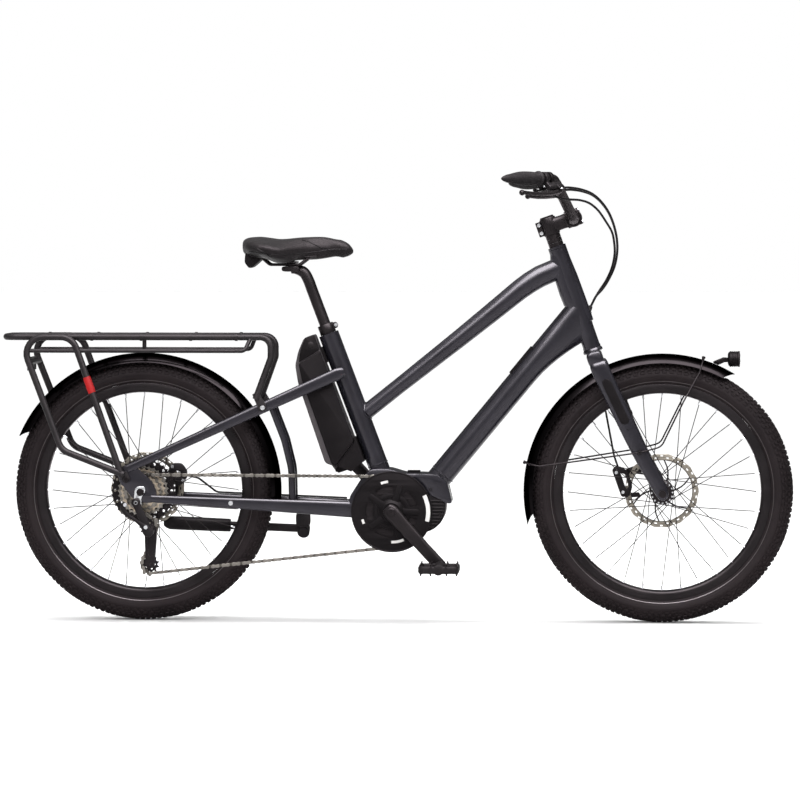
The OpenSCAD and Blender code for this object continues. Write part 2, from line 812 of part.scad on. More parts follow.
module brake_lever(right) {
    tip = [43, 149];
    color(DARK)
        at_grip(right)
            difference() {
                union() {
                    translate([lever_pivot.x, 0, lever_pivot.y])
                        rotate([90, 0, 0]) cylinder(h = 2 * lever_half, r = 7, center = true);
                    rotate([90, 0, 0])
                        linear_extrude(9, center = true)
                            polygon([
                                lever_pivot + [3, -5], lever_pivot + [12, 40], tip + [4, -8], tip + [-3, -2],
                                lever_pivot + [3, 42], lever_pivot + [-5, 5]
                            ]);
                    translate([tip.x, 0, tip.y]) sphere(7);
                }
                translate([lever_pivot.x, 0, lever_pivot.y])
                    rotate([90, 0, 0]) cylinder(h = 20, r = lever_pin_r + RUN, center = true);
            }
}

module brake_lever_right() { brake_lever(true); }
module brake_lever_left() { brake_lever(false); }

// Control pods hang behind the bar, on their own bands
pod_y = [15, 33];
pod_x = [-13, 12];
pod_z = [6, 29];
paddle_pin = [22, 24];
paddle_pin_r = 2.5;
paddle_t = 4;
paddle_low_x = pod_x[1] + FREE;
paddle_high_x = pod_x[0] - FREE;

module control_pod() {
    bar_band(pod_clip[0], pod_clip[1]) translate([-5, bar_d / 2 + 2, pod_clip[0]]) cube([10, 8, 10]);
    translate([pod_x[0], pod_y[0], pod_z[0]])
        cube([pod_x[1] - pod_x[0], pod_y[1] - pod_y[0], pod_z[1] - pod_z[0]]);
}

module shifter_body() {
    color(BLACK)
        at_grip(true) {
            control_pod();
            translate([paddle_high_x - paddle_t, paddle_pin.y, paddle_pin.x])
                rotate([0, 90, 0])
                    cylinder(h = paddle_low_x - paddle_high_x + 2 * paddle_t, r = paddle_pin_r);
        }
}

// A thumb paddle that turns on the pod's pin
module paddle(x0, reach) {
    color(DARK)
        at_grip(true)
            difference() {
                union() {
                    translate([x0, paddle_pin.y, paddle_pin.x]) rotate([0, 90, 0]) cylinder(h = paddle_t, r = 6);
                    translate([x0, paddle_pin.y - 1, paddle_pin.x]) cube([paddle_t, 6, reach]);
                    translate([x0 + paddle_t / 2 - 5, paddle_pin.y - 1, paddle_pin.x + reach - 10])
                        cube([10, 5, 16]);
                }
                translate([x0 - 1, paddle_pin.y, paddle_pin.x])
                    rotate([0, 90, 0]) cylinder(h = paddle_t + 2, r = paddle_pin_r + RUN);
            }
}

module shift_lever() { paddle(paddle_low_x, 34); }
module release_lever() { paddle(paddle_high_x - paddle_t, 26); }

button_r = 5;
button_gap = 0.2;
button_base = 4;
button_travel_room = 1.4;
button_xs = [-6.5, 5.5];

module remote_body() {
    color(BLACK)
        at_grip(false)
            difference() {
                control_pod();
                for (x = button_xs)
                    translate([x, pod_y[1] - button_base - button_travel_room, (pod_z[0] + pod_z[1]) / 2])
                        rotate([-90, 0, 0]) cylinder(h = 20, r = button_r + button_gap);
            }
}

module remote_button(x) {
    color(STEEL)
        at_grip(false)
            translate([x, pod_y[1] - button_base, (pod_z[0] + pod_z[1]) / 2])
                rotate([-90, 0, 0]) cylinder(h = button_base + 2.2, r = button_r);
}

module button_up() { remote_button(button_xs[0]); }
module button_down() { remote_button(button_xs[1]); }

// Fenders, stays and lamp

fender_r = axle_z + fender_gap;
fender_arch = fender_w / 2;
fender_mid_r = fender_r - fender_arch;

// A fender: an arched sheet round the wheel between two angles
module fender_shell(from, to) {
    rotate([0, 0, from])
        rotate_extrude(angle = to - from, $fn = 96)
            translate([fender_mid_r, 0])
                difference() {
                    circle(fender_arch);
                    circle(fender_arch - fender_t);
                    translate([-fender_arch - 1, -fender_arch - 1]) square([fender_arch + 1, 2 * fender_arch + 2]);
                }
}

rear_fender_tab = -2;
front_fender_foot = sqrt(fender_r * fender_r - fork_rake * fork_rake);

module rear_fender() {
    tab_dir = [cos(rear_fender_tab), sin(rear_fender_tab)];
    tab_far = norm(brace_low - rear) - bridge_r - 4;
    color(BLACK) {
        at_wheel(rear) fender_shell(-6, 157);
        rod(flip(rear + (fender_r - 1) * tab_dir, 0), flip(rear + tab_far * tab_dir, 0), 4);
    }
}

module front_fender() {
    color(BLACK) {
        at_wheel(front) fender_shell(58.5, 194);
        at_steering()
            translate([0, 0, front_fender_foot - 1]) cylinder(h = crown_low - front_fender_foot + 1 - SEAT, r = 6);
    }
}

wire_r = 2;
wire_lift = 1.5;
clip_lap = 3;
lamp_angle = 66;
lamp_foot = front + fender_r * [cos(lamp_angle), sin(lamp_angle)];
lamp_pivot = lamp_foot + [11, 14];
lamp_pin_r = 2.5;
lamp_r = 19;
lamp_len = 29;
lamp_lug_half = 4.7;
lamp_ear_in = 5;
lamp_ear_out = 8;

module fender_stays() {
    wire_y = blade_out + eyelet_h + wire_r + wire_lift;
    eyelet = on_head(eyelet_u, eyelet_s);
    clip_rear = front + (fender_mid_r + clip_lap) * [cos(168), sin(168)];
    clip_front = front + (fender_mid_r + clip_lap) * [cos(73), sin(73)];
    clip_y = fender_arch + wire_r + FREE;
    color(BLACK) {
        both_sides() {
            bent_tube([
                flip(clip_rear, clip_y), flip(eyelet, wire_y), flip(eyelet + [52, 14], wire_y - 2),
                flip(front + [50, 222], wire_y - 14), flip(clip_front, clip_y)
            ], wire_r, 26);
            side_plate([
                lamp_foot + [-14, 10], lamp_pivot + [-5, 4], lamp_pivot + [4, 5],
                lamp_pivot + [5, -4], lamp_foot + [0, 2]
            ], lamp_ear_in, lamp_ear_out);
        }
        side_plate([
            lamp_foot + [-14, 10], lamp_foot + [-8, 10], lamp_foot + [0, 5], lamp_foot + [-1, 1], lamp_foot + [-13, 6]
        ], -lamp_ear_out, lamp_ear_out);
        cross_rod(lamp_pivot, -lamp_ear_out, lamp_ear_out, lamp_pin_r);
    }
}

module headlamp() {
    lamp_back = lamp_pivot.x + 10;
    color(BLACK)
        difference() {
            union() {
                rod([lamp_back, 0, lamp_pivot.y + 2], [lamp_back + lamp_len, 0, lamp_pivot.y + 2], lamp_r);
                cross_rod(lamp_pivot, -lamp_lug_half, lamp_lug_half, 6);
                translate([lamp_pivot.x, -lamp_lug_half, lamp_pivot.y - 5]) cube([12, 2 * lamp_lug_half, 10]);
            }
            cross_rod(lamp_pivot, -lamp_lug_half - 1, lamp_lug_half + 1, lamp_pin_r + RUN);
        }
}

// Wheels

tyre_r = tyre_w / 2;
tyre_mid = axle_z - tyre_r;
rim_in = rim_in_d / 2;
rim_wall = 3;
rim_base = 6;
bead_r = tyre_mid - sqrt(tyre_r * tyre_r - rim_w * rim_w / 4);
flange_t = 3;
flange_r = flange_d / 2;
spoke_lift = 2.5;
spoke_cross = 3;
rotor_t = 1.8;
hub_bore = axle_d / 2 + RUN;

// Each flange's place across the wheel, with left positive
front_flanges = [33, -33];
rear_flanges = [34, -20];
front_rotor_y = 41;
rear_rotor_y = 52;

module tyre(p) {
    color("#232022")
        at_wheel(p)
            rotate_extrude($fn = 128)
                difference() {
                    translate([tyre_mid, 0]) circle(tyre_r);
                    translate([tyre_mid, 0]) circle(tyre_r - tyre_wall);
                    translate([0, -tyre_w]) square([bead_r + SEAT, 2 * tyre_w]);
                }
}

module rim(p) {
    color(BLACK)
        at_wheel(p)
            rotate_extrude($fn = 128)
                polygon([
                    [rim_in, -rim_w / 2 + 6], [rim_in + 5, -rim_w / 2], [bead_r, -rim_w / 2],
                    [bead_r, -rim_w / 2 + rim_wall], [rim_in + rim_base, -rim_w / 2 + rim_wall + 4],
                    [rim_in + rim_base, rim_w / 2 - rim_wall - 4], [bead_r, rim_w / 2 - rim_wall],
                    [bead_r, rim_w / 2], [rim_in + 5, rim_w / 2], [rim_in, rim_w / 2 - 6]
                ]);
}

// Crossed spokes from both flanges; leading and trailing spokes lie on either face of the flange
module spokes(p, flanges) {
    per_flange = spoke_count / 2;
    step = 360 / per_flange;
    from_r = flange_r + 0.6 + spoke_d / 2;
    to_r = rim_in - 0.4;
    color(STEEL)
        at_wheel(p)
            for (side = [0, 1])
                for (i = [0 : per_flange - 1]) {
                    lead = i % 2 == 0 ? 1 : -1;
                    a = i * step + side * step / 2;
                    b = a + lead * spoke_cross * step;
                    z = -flanges[side];
                    out = sign(z);
                    rod([from_r * cos(a), from_r * sin(a), z + out * lead * spoke_lift],
                        [to_r * cos(b), to_r * sin(b), out * 3], spoke_d / 2, $fn = 16);
                }
}

// A hub: shell, two flanges, a rotor seat on the left and end caps that meet the dropouts
module hub(p, flanges, shell_r, half, rotor_y, extra_r, extra_to) {
    color(BLACK)
        at_wheel(p)
            difference() {
                union() {
                    translate([0, 0, -flanges[0]]) cylinder(h = flanges[0] - flanges[1], r = shell_r);
                    for (y = flanges)
                        translate([0, 0, -y - flange_t / 2]) cylinder(h = flange_t, r = flange_r);
                    translate([0, 0, -rotor_y + rotor_t / 2 + SEAT])
                        cylinder(h = rotor_y - rotor_t / 2 - SEAT, r = 20);
                    translate([0, 0, -half]) cylinder(h = 2 * half, r = axle_d / 2 + 4);
                    cylinder(h = extra_to, r = extra_r);
                }
                translate([0, 0, -half - 1]) cylinder(h = 2 * half + 2, r = hub_bore);
            }
}

// A brake rotor: a braking ring on spider arms, with its centre hole on the hub
module rotor(p, y) {
    ring_in = rotor_d / 2 - 14;
    arms = 6;
    color(STEEL)
        at_wheel(p, y)
            difference() {
                union() {
                    washer(rotor_d / 2, ring_in, -rotor_t / 2, rotor_t / 2);
                    washer(26, axle_d / 2 + 4 + SEAT, -rotor_t / 2, rotor_t / 2);
                    for (i = [0 : arms - 1])
                        rotate([0, 0, i * 360 / arms])
                            translate([22, -4, -rotor_t / 2]) cube([ring_in - 20, 8, rotor_t]);
                }
                for (i = [0 : 17])
                    rotate([0, 0, i * 20])
                        translate([rotor_d / 2 - 7, 0, -5]) cylinder(h = 10, r = 2.5);
            }
}

// An axle with a head at each end, outside the plates that hold it
module axle(p, half) {
    color(STEEL) {
        cross_rod(p, -half - 1, half + 1, axle_d / 2);
        cross_rod(p, -half - 6, -half - SEAT, axle_d / 2 + 3);
        cross_rod(p, half + SEAT, half + 6, axle_d / 2 + 3);
    }
}

front_half = blade_in - 0.2;
rear_half = dropout_in - 0.2;
freehub_r = 15;
freehub_to = 66;

module front_tyre() { tyre(front); }
module front_rim() { rim(front); }
module front_spokes() { spokes(front, front_flanges); }
module front_hub() { hub(front, front_flanges, 16, front_half, front_rotor_y, 14, 38); }
module front_rotor() { rotor(front, front_rotor_y); }
module front_axle() { axle(front, blade_out); }
module rear_tyre() { tyre(rear); }
module rear_rim() { rim(rear); }
module rear_spokes() { spokes(rear, rear_flanges); }
module rear_hub() { hub(rear, rear_flanges, 20, rear_half, rear_rotor_y, freehub_r, freehub_to); }
module rear_rotor() { rotor(rear, rear_rotor_y); }
module rear_axle() { axle(rear, dropout_out + hanger_t); }

// Brakes

rotor_room = rotor_t / 2 + 0.7;
hose_r = 2.5;

module front_caliper() {
    y0 = front_rotor_y - 12;
    y1 = blade_in - SEAT;
    color(BLACK)
        at_steering() {
            difference() {
                union() {
                    side_plate([[-52, 18], [-52, 88], [-36, 96], [-14, 80], [-14, 22], [-34, 12]], y0, y1);
                    side_plate([[-20, 58], [-20, 78], [24, 78], [24, 58]], front_rotor_y + 4, y1);
                }
                side_plate([[-47, -10], [-47, 110], [40, 110], [40, -10]],
                    front_rotor_y - rotor_room, front_rotor_y + rotor_room);
            }
            bent_tube([[-36, 45, 86], [-36, 45, 118], [-20, 63, 225], [-21, 63, 322]], hose_r, 60);
        }
}

module rear_caliper() {
    y0 = rear_rotor_y - 10;
    y1 = rear_rotor_y + 10;
    outline = [[46, 8], [46, 56], [60, 70], [98, 66], [100, 24], [88, 4]];
    tab_t = 0.88;
    color(BLACK) {
        difference() {
            union() {
                side_plate([for (p = outline) rear + p], y0, y1);
                side_plate([for (p = [[66, -20], [66, 20], [90, 20], [90, -20]]) rear + p],
                    rear_rotor_y + 4, chainstay_y(tab_t) - stay_t / 2 - 0.4);
            }
            side_plate([for (p = [[20, -40], [20, 90], [94, 90], [94, -40]]) rear + p],
                rear_rotor_y - rotor_room, rear_rotor_y + rotor_room);
        }
        bent_tube([
            flip(rear + [94, 32], 58), flip(rear + [124, 26], 58), hose_on_stay(0.7), hose_on_stay(0.03)
        ], hose_r, 24);
    }
}
function hose_on_stay(t) = flip([chainstay_at(t).x, chainstay_top(t) + hose_r + FREE], chainstay_y(t));

// Drive

crank_out = [cos(crank_angle), -sin(crank_angle)];
pedal_at = crank + crank_len * crank_out;
pedal_back = crank - crank_len * crank_out;
arm_in = 64;
arm_t = 18;
arm_out = arm_in + arm_t;
pedal_in = arm_out + 10;
pedal_axle_r = 6;
chain_half_w = 2.8;
chain_half_h = 4;
chain_mesh = chain_half_h + FREE;
guard_gap = 4;
guard_t = 2;

module chainring() {
    ring_r = ring_d / 2 - chain_mesh;
    slots = 5;
    color(BLACK)
        at_wheel(crank)
            difference() {
                union() {
                    translate([0, 0, chain_line - 1.5]) cylinder(h = 3, r = ring_r);
                    translate([0, 0, chain_line + guard_gap]) cylinder(h = guard_t, r = guard_d / 2);
                    translate([0, 0, motor_half + 2]) cylinder(h = arm_in - motor_half - 2 - SEAT, r = 30);
                    washer(ring_r, ring_r - 10, chain_line - 1.5, chain_line + guard_gap + guard_t);
                }
                translate([0, 0, motor_half]) cylinder(h = 40, r = spindle_r + SEAT);
                for (i = [0 : slots - 1])
                    rotate([0, 0, 72 * i + 40])
                        translate([0, 0, chain_line - 5])
                            rotate_extrude(angle = 40) translate([46, 0]) square([16, 20]);
            }
}

// One crank arm along a direction in the side view, between two values of y
module crank_arm(dir, y0, y1) {
    tip = crank + crank_len * dir;
    across = [-dir.y, dir.x];
    cross_rod(crank, y0, y1, 20);
    cross_rod(tip, y0, y1, 16);
    side_plate([crank + 20 * across, tip + 16 * across, tip - 16 * across, crank - 20 * across], y0, y1);
}

module crank_arms() {
    color(DARK) {
        difference() {
            crank_arm(crank_out, -arm_out, -arm_in);
            cross_rod(crank, -arm_out + 4, -arm_in + 1, spindle_r + SEAT);
            cross_rod(pedal_at, -arm_out - 1, -arm_in + 1, pedal_axle_r + SEAT);
        }
        difference() {
            union() {
                crank_arm(-crank_out, arm_in, arm_out);
                cross_rod(crank, -arm_out + 5, arm_in + 1, spindle_r);
            }
            cross_rod(pedal_back, arm_in - 1, arm_out + 1, pedal_axle_r + SEAT);
        }
        cross_rod(pedal_at, -pedal_in - pedal_w + 8, -arm_in, pedal_axle_r);
        cross_rod(pedal_back, arm_in, pedal_in + pedal_w - 8, pedal_axle_r);
    }
}

// A platform pedal round its axle, from its inner edge outwards along +Y
module pedal_body(p) {
    half = pedal_len / 2;
    h = 11;
    windows = [[-half + 12, -18], [18, half - 12]];
    color(BLACK)
        translate(flip(p, 0))
            difference() {
                union() {
                    translate([-half, pedal_in, -h]) cube([pedal_len, pedal_w, 2 * h]);
                    translate([0, pedal_in, 0]) rotate([-90, 0, 0]) cylinder(h = pedal_w, r = 14);
                    for (x = [-half + 6, -half + 30, half - 30, half - 6])
                        for (y = [8, pedal_w - 8])
                            translate([x, pedal_in + y, -h - 4]) cylinder(h = 2 * h + 8, r = 2);
                }
                for (w = windows)
                    translate([w[0], pedal_in + 12, -h - 1]) cube([w[1] - w[0], pedal_w - 24, 2 * h + 2]);
                translate([0, pedal_in - 1, 0])
                    rotate([-90, 0, 0]) cylinder(h = pedal_w - 6, r = pedal_axle_r + RUN);
            }
}

module pedal_right() { mirror([0, 1, 0]) pedal_body(pedal_at); }
module pedal_left() { pedal_body(pedal_back); }

// Cassette: sprockets from the largest at the wheel to the smallest at the dropout
sprocket_step = 4;
sprocket_in_use = 6;
sprocket_t = 1.8;
function sprocket_r(i) =
    i < sprocket_in_use
        ? cassette_d / 2 - (cassette_d / 2 - sprocket_d / 2 - 2) * pow(i / (sprocket_in_use - 1), 0.85)
        : sprocket_d / 2 - chain_mesh - (i - sprocket_in_use) * 4;
function sprocket_y(i) = chain_line + (i - sprocket_in_use) * sprocket_step;

module cassette() {
    color("#b3a892")
        at_wheel(rear)
            difference() {
                union() {
                    for (i = [0 : 9])
                        translate([0, 0, sprocket_y(i) - sprocket_t / 2]) cylinder(h = sprocket_t, r = sprocket_r(i));
                    translate([0, 0, sprocket_y(0)]) cylinder(h = 9 * sprocket_step + 2, r = freehub_r + 4);
                }
                translate([0, 0, 20]) cylinder(h = 60, r = freehub_r + RUN);
            }
}

// Chain: a closed band round the chainring, the sprocket in use and the two guide wheels.
// Each wheel is [centre, signed radius]; the radius is negative where the band runs clockwise.
guide_at = rear + [15, -87];
tension_at = rear + [19, -177];
cage_pivot = rear + [21, -94];
function wheels_of(grow) = [
    [crank, ring_d / 2 + grow], [rear, sprocket_d / 2 + grow],
    [guide_at, -pulley_d / 2 + grow], [tension_at, pulley_d / 2 + grow]
];
function heading(a, b) =
    let (d = b[0] - a[0]) atan2(d.y, d.x) + asin((a[1] - b[1]) / norm(d));
function band_arc(w, from, to) =
    let (
        turn = w[1] > 0 ? (to - from + 720) % 360 : -((from - to + 720) % 360),
        n = max(2, ceil(abs(turn) / 8))
    )
    [for (i = [0 : n]) let (a = from + turn * i / n - 90) w[0] + w[1] * [cos(a), sin(a)]];
function band(ws) = [
    for (i = [0 : len(ws) - 1])
        each band_arc(ws[i], heading(ws[(i + 3) % 4], ws[i]), heading(ws[i], ws[(i + 1) % 4]))
];

module chain() {
    color(STEEL)
        translate([0, -chain_line + chain_half_w, 0])
            rotate([90, 0, 0])
                linear_extrude(2 * chain_half_w)
                    difference() {
                        polygon(band(wheels_of(chain_half_h)));
                        polygon(band(wheels_of(-chain_half_h)));
                    }
}

// Derailleur

hanger_t = 5;
hanger_bolt = rear + [-10, -25];
cage_pin_r = 4;
cage_plate = [6.5, 8.5];
cage_end_r = 9;
pulley_pin_r = 3;
body_y = [86, 94];
knuckle_r = 11;
knuckle_in = chain_line + cage_plate[1] + 3;

module derailleur_body() {
    across = unit([-(cage_pivot - hanger_bolt).y, (cage_pivot - hanger_bolt).x]);
    color(BLACK) {
        cross_rod(hanger_bolt, -body_y[1], -body_y[0], 11);
        side_plate([
            hanger_bolt + 11 * across, cage_pivot + 10 * across, cage_pivot - 10 * across, hanger_bolt - 11 * across
        ], -body_y[1], -body_y[0]);
        cross_rod(cage_pivot, -body_y[1], -knuckle_in, knuckle_r);
        cross_rod(cage_pivot, -knuckle_in - 1, -chain_line - cage_plate[0], cage_pin_r);
    }
}

module cage_side(y0, y1) {
    across = unit([-(tension_at - cage_pivot).y, (tension_at - cage_pivot).x]);
    cross_rod(cage_pivot, y0, y1, knuckle_r);
    cross_rod(guide_at, y0, y1, cage_end_r);
    cross_rod(tension_at, y0, y1, cage_end_r);
    side_plate([
        cage_pivot + 9 * across, tension_at + 7 * across, tension_at - 7 * across, cage_pivot - 9 * across
    ], y0, y1);
}

module derailleur_cage() {
    out_y = -chain_line - cage_plate[0];
    in_y = -chain_line + cage_plate[0];
    color(BLACK) {
        difference() {
            cage_side(-chain_line - cage_plate[1], out_y);
            cross_rod(cage_pivot, -chain_line - 20, 0, cage_pin_r + RUN);
        }
        cage_side(in_y, -chain_line + cage_plate[1]);
        for (p = [guide_at, tension_at]) cross_rod(p, out_y - 1, in_y + 1, pulley_pin_r);
    }
}

module pulley(p) {
    color(DARK)
        at_wheel(p, -chain_line)
            washer(pulley_d / 2 - chain_mesh, pulley_pin_r + RUN, -2, 2);
}

module guide_pulley() { pulley(guide_at); }
module tension_pulley() { pulley(tension_at); }

// Rack

rack_r = rack_d / 2;
pannier_r = rail_d / 2;
deck_half = deck_w / 2;
rack_back = rear.x - tail_len + rack_r;
rack_front = rear.x + 314;
leg_y = dropout_out + 11;
rack_stay_y = stay_y(rack_stay_t) + stay_t / 2 + 1;
lug_t = 5;
front_lug = stay_at(rack_stay_t);
rear_leg_top = [rear.x - 300, deck_half, deck_z];
rear_leg_knee = [rear.x - 270, deck_half + 6, deck_z - 54];
rear_leg_turn = [rear.x - 190, leg_y, deck_z - 272];
rear_leg_end = [rear.x - 40, leg_y, rear.y + 43];
mid_leg_top = [rear.x - 186, deck_half, deck_z];
mid_leg_knee = [rear.x - 154, deck_half + 5, deck_z - 40];
mid_leg_end = [rear.x - 44, leg_y, rear.y + 38];
pannier_z = deck_z - 33;
pannier_y = deck_half + 14;
tail_plate_z = deck_z - 62;
tail_plate_half = 52;
tail_plate_t = 6;
tail_hole_pitch = 80;
tail_hole_r = 3;
function leg_at(a, b, z) = a + (b - a) * ((a.z - z) / (a.z - b.z));

module rack() {
    pannier_from = leg_at(rear_leg_knee, rear_leg_turn, pannier_z - 22) + [0, 0, 22];
    tail_bar = leg_at(rear_leg_knee, rear_leg_turn, tail_plate_z);
    color(BLACK)
        difference() {
            union() {
                both_sides() {
                    bent_tube([
                        [rack_back, 0, deck_z], [rack_back, deck_half, deck_z], [rack_front, deck_half, deck_z],
                        [rack_front, deck_half + 2, deck_z - 50],
                        [front_lug.x - 17, rack_stay_y + lug_t / 2, front_lug.y + 20]
                    ], rack_r, 26);
                    side_plate([
                        front_lug + [-26, 34], front_lug + [-8, 34], front_lug + [9, 6],
                        front_lug + [7, -9], front_lug + [-8, -9]
                    ], rack_stay_y, rack_stay_y + lug_t);
                    bent_tube([rear_leg_top, rear_leg_knee, rear_leg_turn, rear_leg_end], rack_r, 40);
                    bent_tube([mid_leg_top, mid_leg_knee, mid_leg_end], rack_r, 40);
                    side_plate([
                        rack_bolt + [-14, 12], rack_bolt + [0, 22], rack_bolt + [10, 0],
                        rack_bolt + [0, -10], rack_bolt + [-11, -4]
                    ], dropout_out + SEAT, dropout_out + SEAT + lug_t);
                    bent_tube([
                        pannier_from, [pannier_from.x + 22, pannier_y, pannier_z],
                        [rack_front - 62, pannier_y, pannier_z], [rack_front - 48, deck_half, deck_z]
                    ], pannier_r, 14);
                }
                for (x = [-240, -120, 0, 120, 230])
                    rod([rear.x + x, -deck_half, deck_z], [rear.x + x, deck_half, deck_z], pannier_r + 1);
                rod([rear.x, 0, deck_z], [rear.x, 0, rear.y + fender_r + SEAT], pannier_r);
                rod([tail_bar.x, -tail_bar.y, tail_bar.z], tail_bar, pannier_r + 1);
                translate([tail_bar.x - pannier_r - tail_plate_t, -tail_plate_half, tail_bar.z - 20])
                    cube([tail_plate_t, 2 * tail_plate_half, 32]);
            }
            for (side = [-1, 1])
                translate([tail_bar.x - 30, side * tail_hole_pitch / 2, tail_bar.z - 11])
                    rotate([0, 90, 0]) cylinder(h = 40, r = tail_hole_r);
            cross_rod(rack_bolt, -leg_y, leg_y, bolt_r + SEAT);
            cross_rod(front_lug, -rack_stay_y - 10, rack_stay_y + 10, bolt_r + SEAT);
        }
}

// Band round the right middle leg of the rack
module rack_band() {
    band_from = 0.06;
    band_to = 0.2;
    low = mid_leg_knee + band_to * (mid_leg_end - mid_leg_knee);
    high = mid_leg_knee + band_from * (mid_leg_end - mid_leg_knee);
    color("#c8102e")
        mirror([0, 1, 0])
            difference() {
                rod(high, low, rack_r + 1.2);
                rod(high + (high - low), low + (low - high), rack_r + SEAT);
            }
}

// Bolts with round heads, and the plate that carries the derailleur
module side_bolt(p, y_in, y_out) {
    cross_rod(p, y_in, y_out + SEAT, bolt_r);
    cross_rod(p, y_out + SEAT, y_out + 4, 6);
}

module frame_hardware() {
    color(STEEL) {
        both_sides() {
            side_bolt(rack_bolt, dropout_in + 1, dropout_out + SEAT + lug_t);
            side_bolt(front_lug, stay_y(rack_stay_t) - 4, rack_stay_y + lug_t);
            side_bolt(chainstay_at(chainstay_bolt_t), chainstay_y(chainstay_bolt_t) - 4,
                chainstay_y(chainstay_bolt_t) + stay_t / 2 + 1);
        }
        difference() {
            union() {
                side_plate([for (p = [[-17, -22], [-14, 8], [-6, 14], [10, 14], [12, 2], [2, -12], [2, -32], [-14, -34]])
                    rear + p], -dropout_out - hanger_t, -dropout_out - SEAT);
                cross_rod(hanger_bolt, -body_y[0] + SEAT, -dropout_out - 1, 6);
            }
            cross_rod(rear, -dropout_out - hanger_t - 1, 0, axle_d / 2 + SEAT);
        }
    }
}

// Kickstand: the leg turns on a pin that leans outwards

stand_lean = 25;
stand_out = 19;
stand_pivot = [rear.x + 382, rear_rotor_y + stand_out, rear.y - 101];
stand_pin_r = 5;
stand_hub_r = 15;
stand_t = 12;
stand_len = 345;
stand_rest = 2.5;
foot_len = 117;
leg_end_x = 262;
leg_half_h = 10;
foot_wall = 4;
foot_fit = 0.3;
module at_stand() {
    translate(stand_pivot) rotate([stand_lean - 90, 0, 0]) rotate([0, 0, stand_rest]) children();
}

module kickstand_bracket() {
    t = 0.24;
    under = 2 * chainstay_at(t).y - chainstay_top(t) - 0.6;
    color(BLACK) {
        difference() {
            translate([stand_pivot.x - 17, chainstay_y(t) - 9, stand_pivot.z + 8])
                cube([36, stand_pivot.y - chainstay_y(t) + 8, under - stand_pivot.z - 8]);
            at_stand() translate([0, 0, -FREE]) cylinder(h = 40, r = stand_hub_r + 7);
        }
        at_stand() {
            translate([0, 0, -16]) cylinder(h = 16 - FREE, r = stand_hub_r);
            translate([0, 0, -10]) cylinder(h = 10 + stand_t + 4, r = stand_pin_r);
            translate([0, 0, stand_t + FREE]) cylinder(h = 4, r = stand_pin_r + 4);
        }
    }
}

module kickstand_leg() {
    color(BLACK)
        at_stand()
            difference() {
                union() {
                    cylinder(h = stand_t, r = stand_hub_r);
                    translate([-leg_end_x, -leg_half_h, 0]) cube([leg_end_x, 2 * leg_half_h, stand_t]);
                }
                translate([0, 0, -1]) cylinder(h = stand_t + 2, r = stand_pin_r + RUN);
            }
}

module kickstand_foot() {
    half = leg_half_h + foot_wall + foot_fit;
    color(DARK)
        at_stand()
            difference() {
                union() {
                    translate([half - stand_len, -half, -foot_wall])
                        cube([foot_len - half, 2 * half, stand_t + 2 * foot_wall]);
                    translate([half - stand_len, 0, -foot_wall]) cylinder(h = stand_t + 2 * foot_wall, r = half);
                }
                translate([8 - stand_len, -leg_half_h - foot_fit, -foot_fit])
                    cube([foot_len, 2 * (leg_half_h + foot_fit), stand_t + 2 * foot_fit]);
            }
}

// Control cables, from the brake and gear controls forward and down to a port in the head tube
cable_r = 2.5;
cable_lead = 25;
function at_port(y) = [flip(port_at + cable_lead * port_dir, y), flip(port_at + FREE * port_dir, y)];
function from_front(points) = [for (p = points) [front.x + p.x, p.y, front.y + p.z]];
right_hose = concat(from_front([
    [-236.55, -186.9, 730.2], [-221.25, -170, 730.5], [-195.25, -146, 726.5], [-169.25, -122, 716.5],
    [-147.25, -98, 697.5], [-129.25, -75, 671.5], [-117.25, -54, 641.5], [-110.25, -37, 609.5],
    [-109.25, -24, 577.5], [-115.25, -14, 544.5], [-128.25, -9, 514.5], [-143.25, -7, 490.5]
]), at_port(-6));
shift_cable = concat(from_front([
    [-275.55, -189.8, 726.3], [-272.25, -192, 721], [-263.25, -189, 712.5], [-247.25, -175, 703.5],
    [-225.25, -153, 698.5], [-199.25, -128, 694.5], [-173.25, -102, 685.5], [-151.25, -77, 667.5],
    [-136.25, -54, 641.5], [-128.25, -35, 611.5], [-126.25, -20, 579.5], [-130.25, -9, 546.5],
    [-139.25, -2, 516.5], [-150.25, 0, 491.5]
]), at_port(0));
left_hose = concat(from_front([
    [-236.55, 186.9, 730.2], [-221.25, 170, 730.5], [-195.25, 146, 726.5], [-169.25, 122, 716.5],
    [-147.25, 98, 697.5], [-129.25, 75, 671.5], [-117.25, 54, 641.5], [-110.25, 37, 609.5],
    [-109.25, 24, 577.5], [-115.25, 14, 544.5], [-128.25, 9, 514.5], [-143.25, 7, 490.5]
]), at_port(6));

module control_cables() {
    color(BLACK)
        for (route = [right_hose, shift_cable, left_hose]) swept_tube(route, cable_r, 8);
}

frame();
headset_cups();
motor_housing();
motor_covers();
battery_holder();
seat_clamp();
rear_fender();
rack();
rack_band();
frame_hardware();
kickstand_bracket();
rear_caliper();
rear_axle();
derailleur_body();
fork();
stem();
stem_hardware();
handlebar();
grips();
brake_bodies();
shifter_body();
remote_body();
front_fender();
fender_stays();
front_caliper();
front_axle();
control_cables();
brake_lever_right();
brake_lever_left();
shift_lever();
release_lever();
button_up();
button_down();
headlamp();
front_tyre();
front_rim();
front_spokes();
front_hub();
front_rotor();
rear_tyre();
rear_rim();
rear_spokes();
rear_hub();
rear_rotor();
cassette();
chainring();
crank_arms();
pedal_right();
pedal_left();
derailleur_cage();
guide_pulley();
tension_pulley();
chain();
battery_case();
seatpost();
saddle();
saddle_rails();
kickstand_leg();
kickstand_foot();
